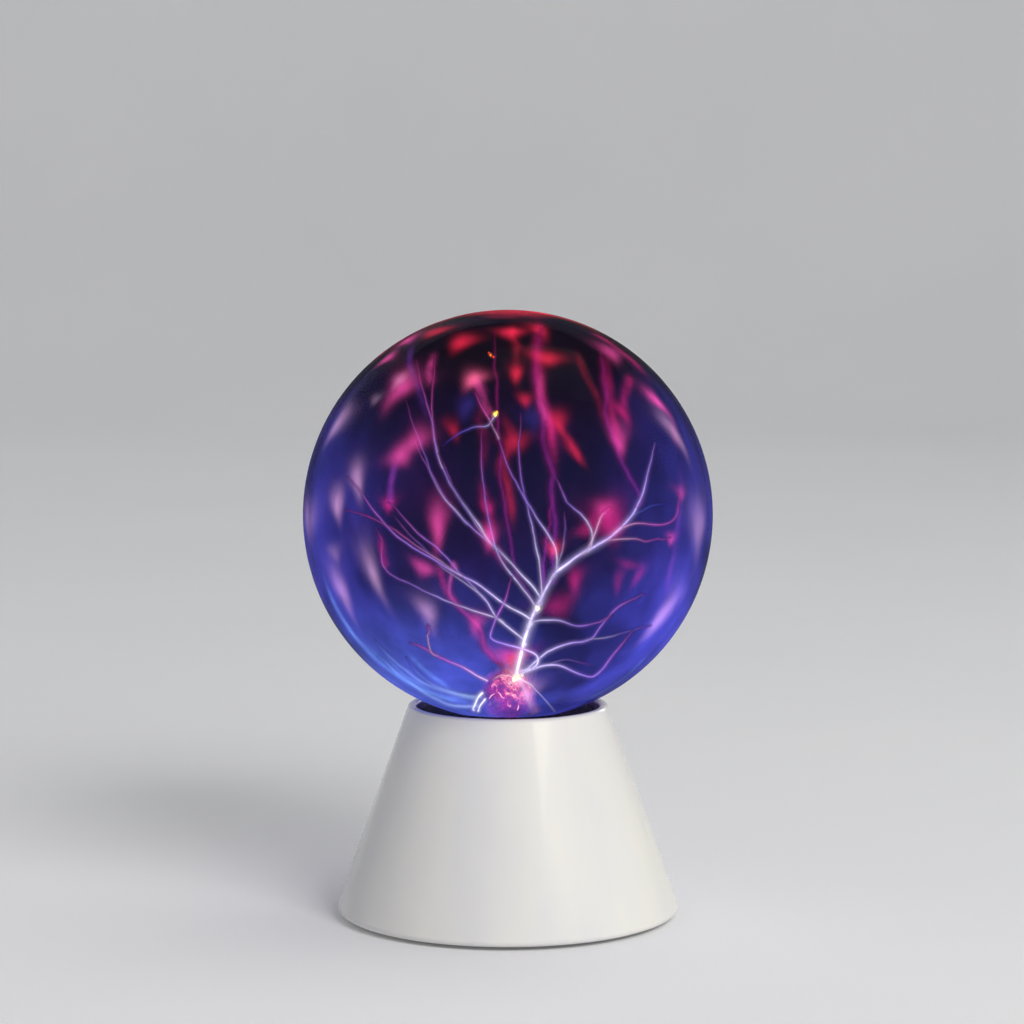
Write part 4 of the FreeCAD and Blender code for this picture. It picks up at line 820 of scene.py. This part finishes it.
def wire_loop(rng, k):
    """One loop of fine wire that wanders round the core."""
    def knock():
        return Vector((rng.gauss(0, 1), rng.gauss(0, 1), rng.gauss(0, 1)))
    waves = [(knock(), knock(), 0.75 ** n) for n in range(4)]
    line = []
    for i in range(LOOP_STOPS):
        a = 1.9 * math.pi * i / (LOOP_STOPS - 1)
        way = Vector((0, 0, 0))
        for n, (p, q, size) in enumerate(waves):
            way += size * (p * math.cos((n + 1) * a) + q * math.sin((n + 1) * a))
        depth = 0.80 + 0.17 * (0.5 + 0.5 * math.sin(3 * a + k))
        line.append(BULB + way.normalized() * WOOL_R * depth)
    return smooth_line(line[::2], 0.0006)


def electrode_tangle():
    """Crumpled metal wool: a creased core, its tail down the tube, and loops of fine wire round it."""
    rng = random.Random(SEED)
    pile = Pile()
    core = bmesh.new()
    bmesh.ops.create_icosphere(core, subdivisions=5, radius=1.0)
    for v in core.verts:
        way = v.co.normalized()
        crease = noise.ridged_multi_fractal(way * 2.6 + Vector((SEED, 0, 0)), 0.8, 2.2, 5, 1.0, 2.0)
        pile.points.append([BULB + way * WOOL_R * (0.70 + 0.10 * crease)])
    pile.faces.extend(tuple(v.index for v in f.verts) for f in core.faces)
    pile.count = len(core.verts)
    core.free()
    dark = np.zeros(3)
    steps = [k / (TAIL_STOPS - 1) for k in range(TAIL_STOPS)]
    tail = [(TAIL_SWAY * math.cos(5.0 * t), TAIL_SWAY * math.sin(5.0 * t),
             TAIL_TOP_Z + (WOOL_LOW - TAIL_TOP_Z) * t) for t in steps]
    width = [TAIL_R * (1 + 0.12 * noise.noise(Vector((k * 0.7, 3, 1)))) for k in range(TAIL_STOPS)]
    pile.tube(tail, width, [dark] * TAIL_STOPS, 10)
    for k in range(WIRE_LOOPS):
        line = wire_loop(rng, k)
        pile.tube(line, [LOOP_R] * len(line), [dark] * len(line), 5)
    return pile.build("electrode_tangle", sparkle(), painted=False)


# across and up from the hot spot in globe radii; width at the end in metres; light; colour
FANS = [
    (((0.0, 0.0), (0.028, -0.05), (0.06, -0.11), (0.088, -0.18)), 0.0027, 0.62, tone(236, 150, 200)),
    (((0.0, 0.0), (0.022, -0.045), (0.045, -0.10), (0.07, -0.15)), 0.0014, 0.70, tone(240, 200, 240)),
    (((0.0, 0.0), (0.03, -0.02), (0.06, -0.036), (0.078, -0.052)), 0.0007, 0.95, tone(245, 235, 255)),
    (((0.07, -0.045), (0.11, -0.085), (0.15, -0.13), (0.185, -0.172)), 0.0006, 0.50, tone(190, 180, 240)),
    (((0.0, 0.0), (-0.05, 0.006), (-0.10, -0.002), (-0.125, -0.02)), 0.0006, 0.60, tone(250, 190, 200)),
    (((0.0, 0.0), (-0.02, 0.035), (-0.03, 0.07), (-0.028, 0.105)), 0.0016, 0.32, tone(240, 60, 105)),
    (((0.0, 0.0), (0.012, 0.03), (0.02, 0.055), (0.018, 0.085)), 0.0012, 0.30, tone(235, 50, 100)),
    (((0.0, 0.0), (-0.045, 0.02), (-0.075, 0.045), (-0.085, 0.07)), 0.0012, 0.26, tone(225, 50, 110)),
]
# across and up from the bulb's centre, in bulb radii: wires of the wool that glow white-hot
CURLS = [
    ((-0.58, 0.36), (-0.53, 0.44), (-0.45, 0.45), (-0.38, 0.38)),
    ((-0.36, 0.22), (-0.28, 0.16), (-0.22, 0.06), (-0.12, 0.0)),
    ((-0.02, -0.20), (0.03, -0.27), (0.10, -0.28), (0.08, -0.22)),
    ((0.36, -0.24), (0.37, -0.32), (0.34, -0.40), (0.33, -0.46)),
    ((-0.42, 0.66), (-0.30, 0.73), (-0.16, 0.76), (-0.04, 0.74)),
    ((-0.66, -0.06), (-0.60, 0.04), (-0.54, 0.10), (-0.46, 0.15)),
    ((0.10, 0.20), (0.16, 0.13), (0.24, 0.12), (0.30, 0.05)),
]


# place beside the hot spot, radius, colour, seed and roughness of its shape
HOT_BEADS = [((0, 0, 0), 0.0013, tone(255, 250, 196, 1.25), 1, 0.45),
             ((0.0018, 0, 0.0005), 0.0006, tone(255, 246, 225, 1.3), 2, 0.4),
             ((-0.0012, 0, -0.0012), 0.0008, tone(255, 250, 190, 1.2), 3, 0.4)]
HOT_HAZE = ((0.0020, 0.5), (0.0028, 0.26), (0.0040, 0.13), (0.0056, 0.07), (0.0078, 0.035))
FAN_STEPS = ((0.5, 0.42), (0.75, 0.28), (1.0, 0.18), (1.3, 0.12))
DOT_STEPS = ((1.6, 0.22), (2.6, 0.07))
# the first two rows, yellow, are a painted reflection: a glint drawn as glowing beads
# across, up and depth in globe radii; radius in metres; colour
DOTS = [(-0.062, 0.490, -0.64, 0.00050, tone(255, 228, 90, 1.9)),
        (-0.054, 0.500, -0.64, 0.00032, tone(255, 190, 50, 1.5)),
        (-0.084, 0.779, -0.44, 0.00032, tone(255, 120, 50, 1.1)),
        (-0.070, 0.770, -0.44, 0.00024, tone(255, 70, 30, 1.0)),
        (-0.092, 0.790, -0.44, 0.00022, tone(255, 60, 40, 1.0))]


def hot_spot(halos, cores):
    """The white point where the discharge leaves the electrode, and the light spilling from it."""
    for offset, radius, colour, seed, rough in HOT_BEADS:
        cores.bead(HOT_SPOT + Vector(offset), radius, colour, seed, rough)
    for radius, light in HOT_HAZE:
        halos.bead(HOT_SPOT, radius, tone(255, 190, 190, light), radius * 900, 0.3)
    for fan, size, light, colour in FANS:
        line = smooth_line([HOT_SPOT + Vector((u * R, -0.05 * abs(u) * R, v * R)) for u, v in fan], 0.0008)
        grow = np.linspace(0.35, 1.0, len(line)) * size
        fade = np.clip(1.2 - np.linspace(0, 1, len(line)), 0.2, 1)
        for step, share in FAN_STEPS:
            halos.tube(line, grow * step, np.array(colour) * (light * share * fade)[:, None])
    for k, curl in enumerate(CURLS):
        stops = [BULB + BULB_R * Vector((x, -math.sqrt(0.80 - x * x - z * z), z)) for x, z in curl]
        line = smooth_line(stops, 0.0003)
        thick = 0.00006 + 0.00010 * np.sin(np.linspace(0, math.pi, len(line)))
        tint = np.array(tone(255, 196, 206)) * (0.55 + 0.3 * (k % 2))
        cores.tube(line, thick, np.tile(tint, (len(line), 1)))
        halos.tube(line, thick * 2.4, np.tile(np.array(tone(255, 110, 150)) * 0.25, (len(line), 1)))


def sparks_and_painted_glints(cores, halos, trunk):
    """A bright knot on the trunk, and small bright points that stand away from the electrode; the two yellow
    points first in DOTS are no sparks but a painted glint, a reflection drawn as glowing beads.
    """
    knot = trunk[int(np.argmin(np.abs(trunk[:, 2] - (CENTRE.z - 0.44 * R))))]
    dots = [(Vector(knot) + Vector((0.0004, -0.0004, 0)), 0.0008, tone(255, 246, 230, 1.7))]
    dots += [(seen_at(u, v, depth * R), size, colour) for u, v, depth, size, colour in DOTS]
    for at, size, colour in dots:
        cores.bead(at, size, colour, size * 9000, 0.4, 2, (1, 1, 1.5))
        for step, light in DOT_STEPS:
            halos.bead(at, size * step, tuple(c * light for c in colour), step, 0.2, 2)


FOAM_BORE = 0.0213
FOAM_STOPS = 12
FOAM_TURNS = 144


def neck_foam():
    """Foam ring between the shell's deck and the globe, crowned where it is free."""
    low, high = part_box("globe_cushion")
    outer = high.x
    profile = [(FOAM_BORE, low.z)]
    for k in range(FOAM_STOPS + 1):
        t = k / FOAM_STOPS
        r = FOAM_BORE + (outer - 0.0004 - FOAM_BORE) * t
        under_globe = CENTRE.z - math.sqrt((R + 0.0002) ** 2 - r * r)
        crown = high.z - 0.0035 * max(0.0, (t - 0.35) / 0.65) ** 2
        profile.append((r, min(under_globe, crown)))
    profile += [(outer - 0.0001, low.z + 0.002), (outer - 0.0004, low.z)]
    points, faces = lathe(profile, FOAM_TURNS)
    bumpy = []
    for p in map(Vector, points):
        way = Vector((p.x, p.y, 0)).normalized()
        bumpy.append(p + way * (-0.00012 * abs(noise.noise(p * 500))))
    ring = made("cushion_foam", bumpy, faces, finishes["dark_foam"])
    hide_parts("globe_cushion")
    return ring


cores, halos, lines = discharge()
hot_spot(halos, cores)
sparks_and_painted_glints(cores, halos, lines["trunk"])
streamers = cores.build("streamer_cores", glow_material("streamer_light", True))
mist = halos.build("streamer_halos", glow_material("streamer_haze", False))
gas = gas_glow()
limb = limb_glow()
tangle = electrode_tangle()
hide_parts("electrode_wool")
for piece in (streamers, mist, gas, limb, tangle, neck_foam()):
    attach(piece, BODY)


# ---- studio
def stage_finish():
    s = Shader("studio_paper")
    soft = s.noise(3.0, 4.0, 0.5)
    colour = s.ramp(soft, [(0.3, tone(238, 239, 241)), (0.7, tone(243, 243, 244))])
    return s.done(s.principled(Base_Color=colour, Roughness=s.levels(s.noise(400.0), 0.75, 0.9),
                               Normal=s.bump(s.noise(900.0), 0.00005), Emission_Color=(1.0, 1.0, 1.0),
                               Emission_Strength=0.09))


WALL_R, COVE, WALL_TOP = 3.4, 1.2, 3.0
COVE_STEPS, STAGE_TURNS = 12, 96


def studio():
    """A round floor that curves up into a wall."""
    profile = [(0.4, 0.0), (1.2, 0.0), (WALL_R - COVE, 0.0)]
    for k in range(1, COVE_STEPS + 1):
        a = math.pi / 2 * k / COVE_STEPS
        profile.append((WALL_R - COVE + COVE * math.sin(a), COVE - COVE * math.cos(a)))
    profile.append((WALL_R, WALL_TOP))
    points, faces, n = [(0.0, 0.0, 0.0)], [], len(profile)
    for k in range(STAGE_TURNS):
        a = 2 * math.pi * k / STAGE_TURNS
        points += [(r * math.cos(a), r * math.sin(a), z) for r, z in profile]
    for k in range(STAGE_TURNS):
        here, there = 1 + k * n, 1 + (k + 1) % STAGE_TURNS * n
        faces.append((0, here, there))
        faces += [(here + i, here + i + 1, there + i + 1, there + i) for i in range(n - 1)]
    made("studio_floor", points, faces, stage_finish())


# name, place, width, height, watts, colour, whether it lights the base alone
LIGHTS = [
    ("key", (1.15, -1.85, 1.5), 1.2, 1.0, 38, (1.0, 0.985, 0.96), False),
    ("top", (0.6, 0.3, 2.3), 1.5, 1.5, 10, (1.0, 1.0, 1.0), False),
    ("back_fill", (-0.8, 2.0, 1.3), 1.2, 1.0, 1.5, (0.95, 0.97, 1.0), False),
    ("panel", (1.05, -1.0, 1.10), 0.90, 0.62, 5.0, (1.0, 0.96, 0.80), True),
    ("edge_right", (1.0, 1.7, 0.8), 0.25, 1.2, 4.0, (1.0, 1.0, 1.0), True),
]
LIT_POINT = Vector((0, 0, 0.06))


def softbox(name, at, width, height, power, colour):
    light = bpy.data.lights.new(name, "AREA")
    light.shape = "RECTANGLE"
    light.size, light.size_y = width, height
    light.energy = power
    light.color = colour
    item = bpy.data.objects.new(name, light)
    item.location = at
    item.rotation_mode = "QUATERNION"
    item.rotation_quaternion = (LIT_POINT - Vector(at)).to_track_quat("-Z", "Y")
    item.visible_glossy = name != "key"
    bpy.context.scene.collection.objects.link(item)
    return item


studio()
on_base = bpy.data.collections.new("on_base")
on_base.objects.link(NODES["base_shell"])
for *row, base_alone in LIGHTS:
    lamp = softbox(*row)
    if base_alone:
        lamp.light_linking.receiver_collection = on_base

world = bpy.data.worlds.new("studio_air")
world.use_nodes = True
world.node_tree.nodes["Background"].inputs["Color"].default_value = (0.88, 0.9, 0.96, 1.0)
world.node_tree.nodes["Background"].inputs["Strength"].default_value = 0.07
scene = bpy.context.scene
scene.world = world
scene.view_settings.view_transform = "Standard"
scene.cycles.transparent_max_bounces = 128

camera_data = bpy.data.cameras.new("camera")
camera_data.lens = CAMERA_LENS
camera_data.clip_start = 0.05
camera_data.clip_end = 20.0
camera = bpy.data.objects.new("camera", camera_data)
camera.location = CAMERA_AT
camera.rotation_mode = "QUATERNION"
camera.rotation_quaternion = (CAMERA_AIM - CAMERA_AT).to_track_quat("-Z", "Y")
scene.collection.objects.link(camera)
scene.camera = camera

bpy.context.view_layer.update()
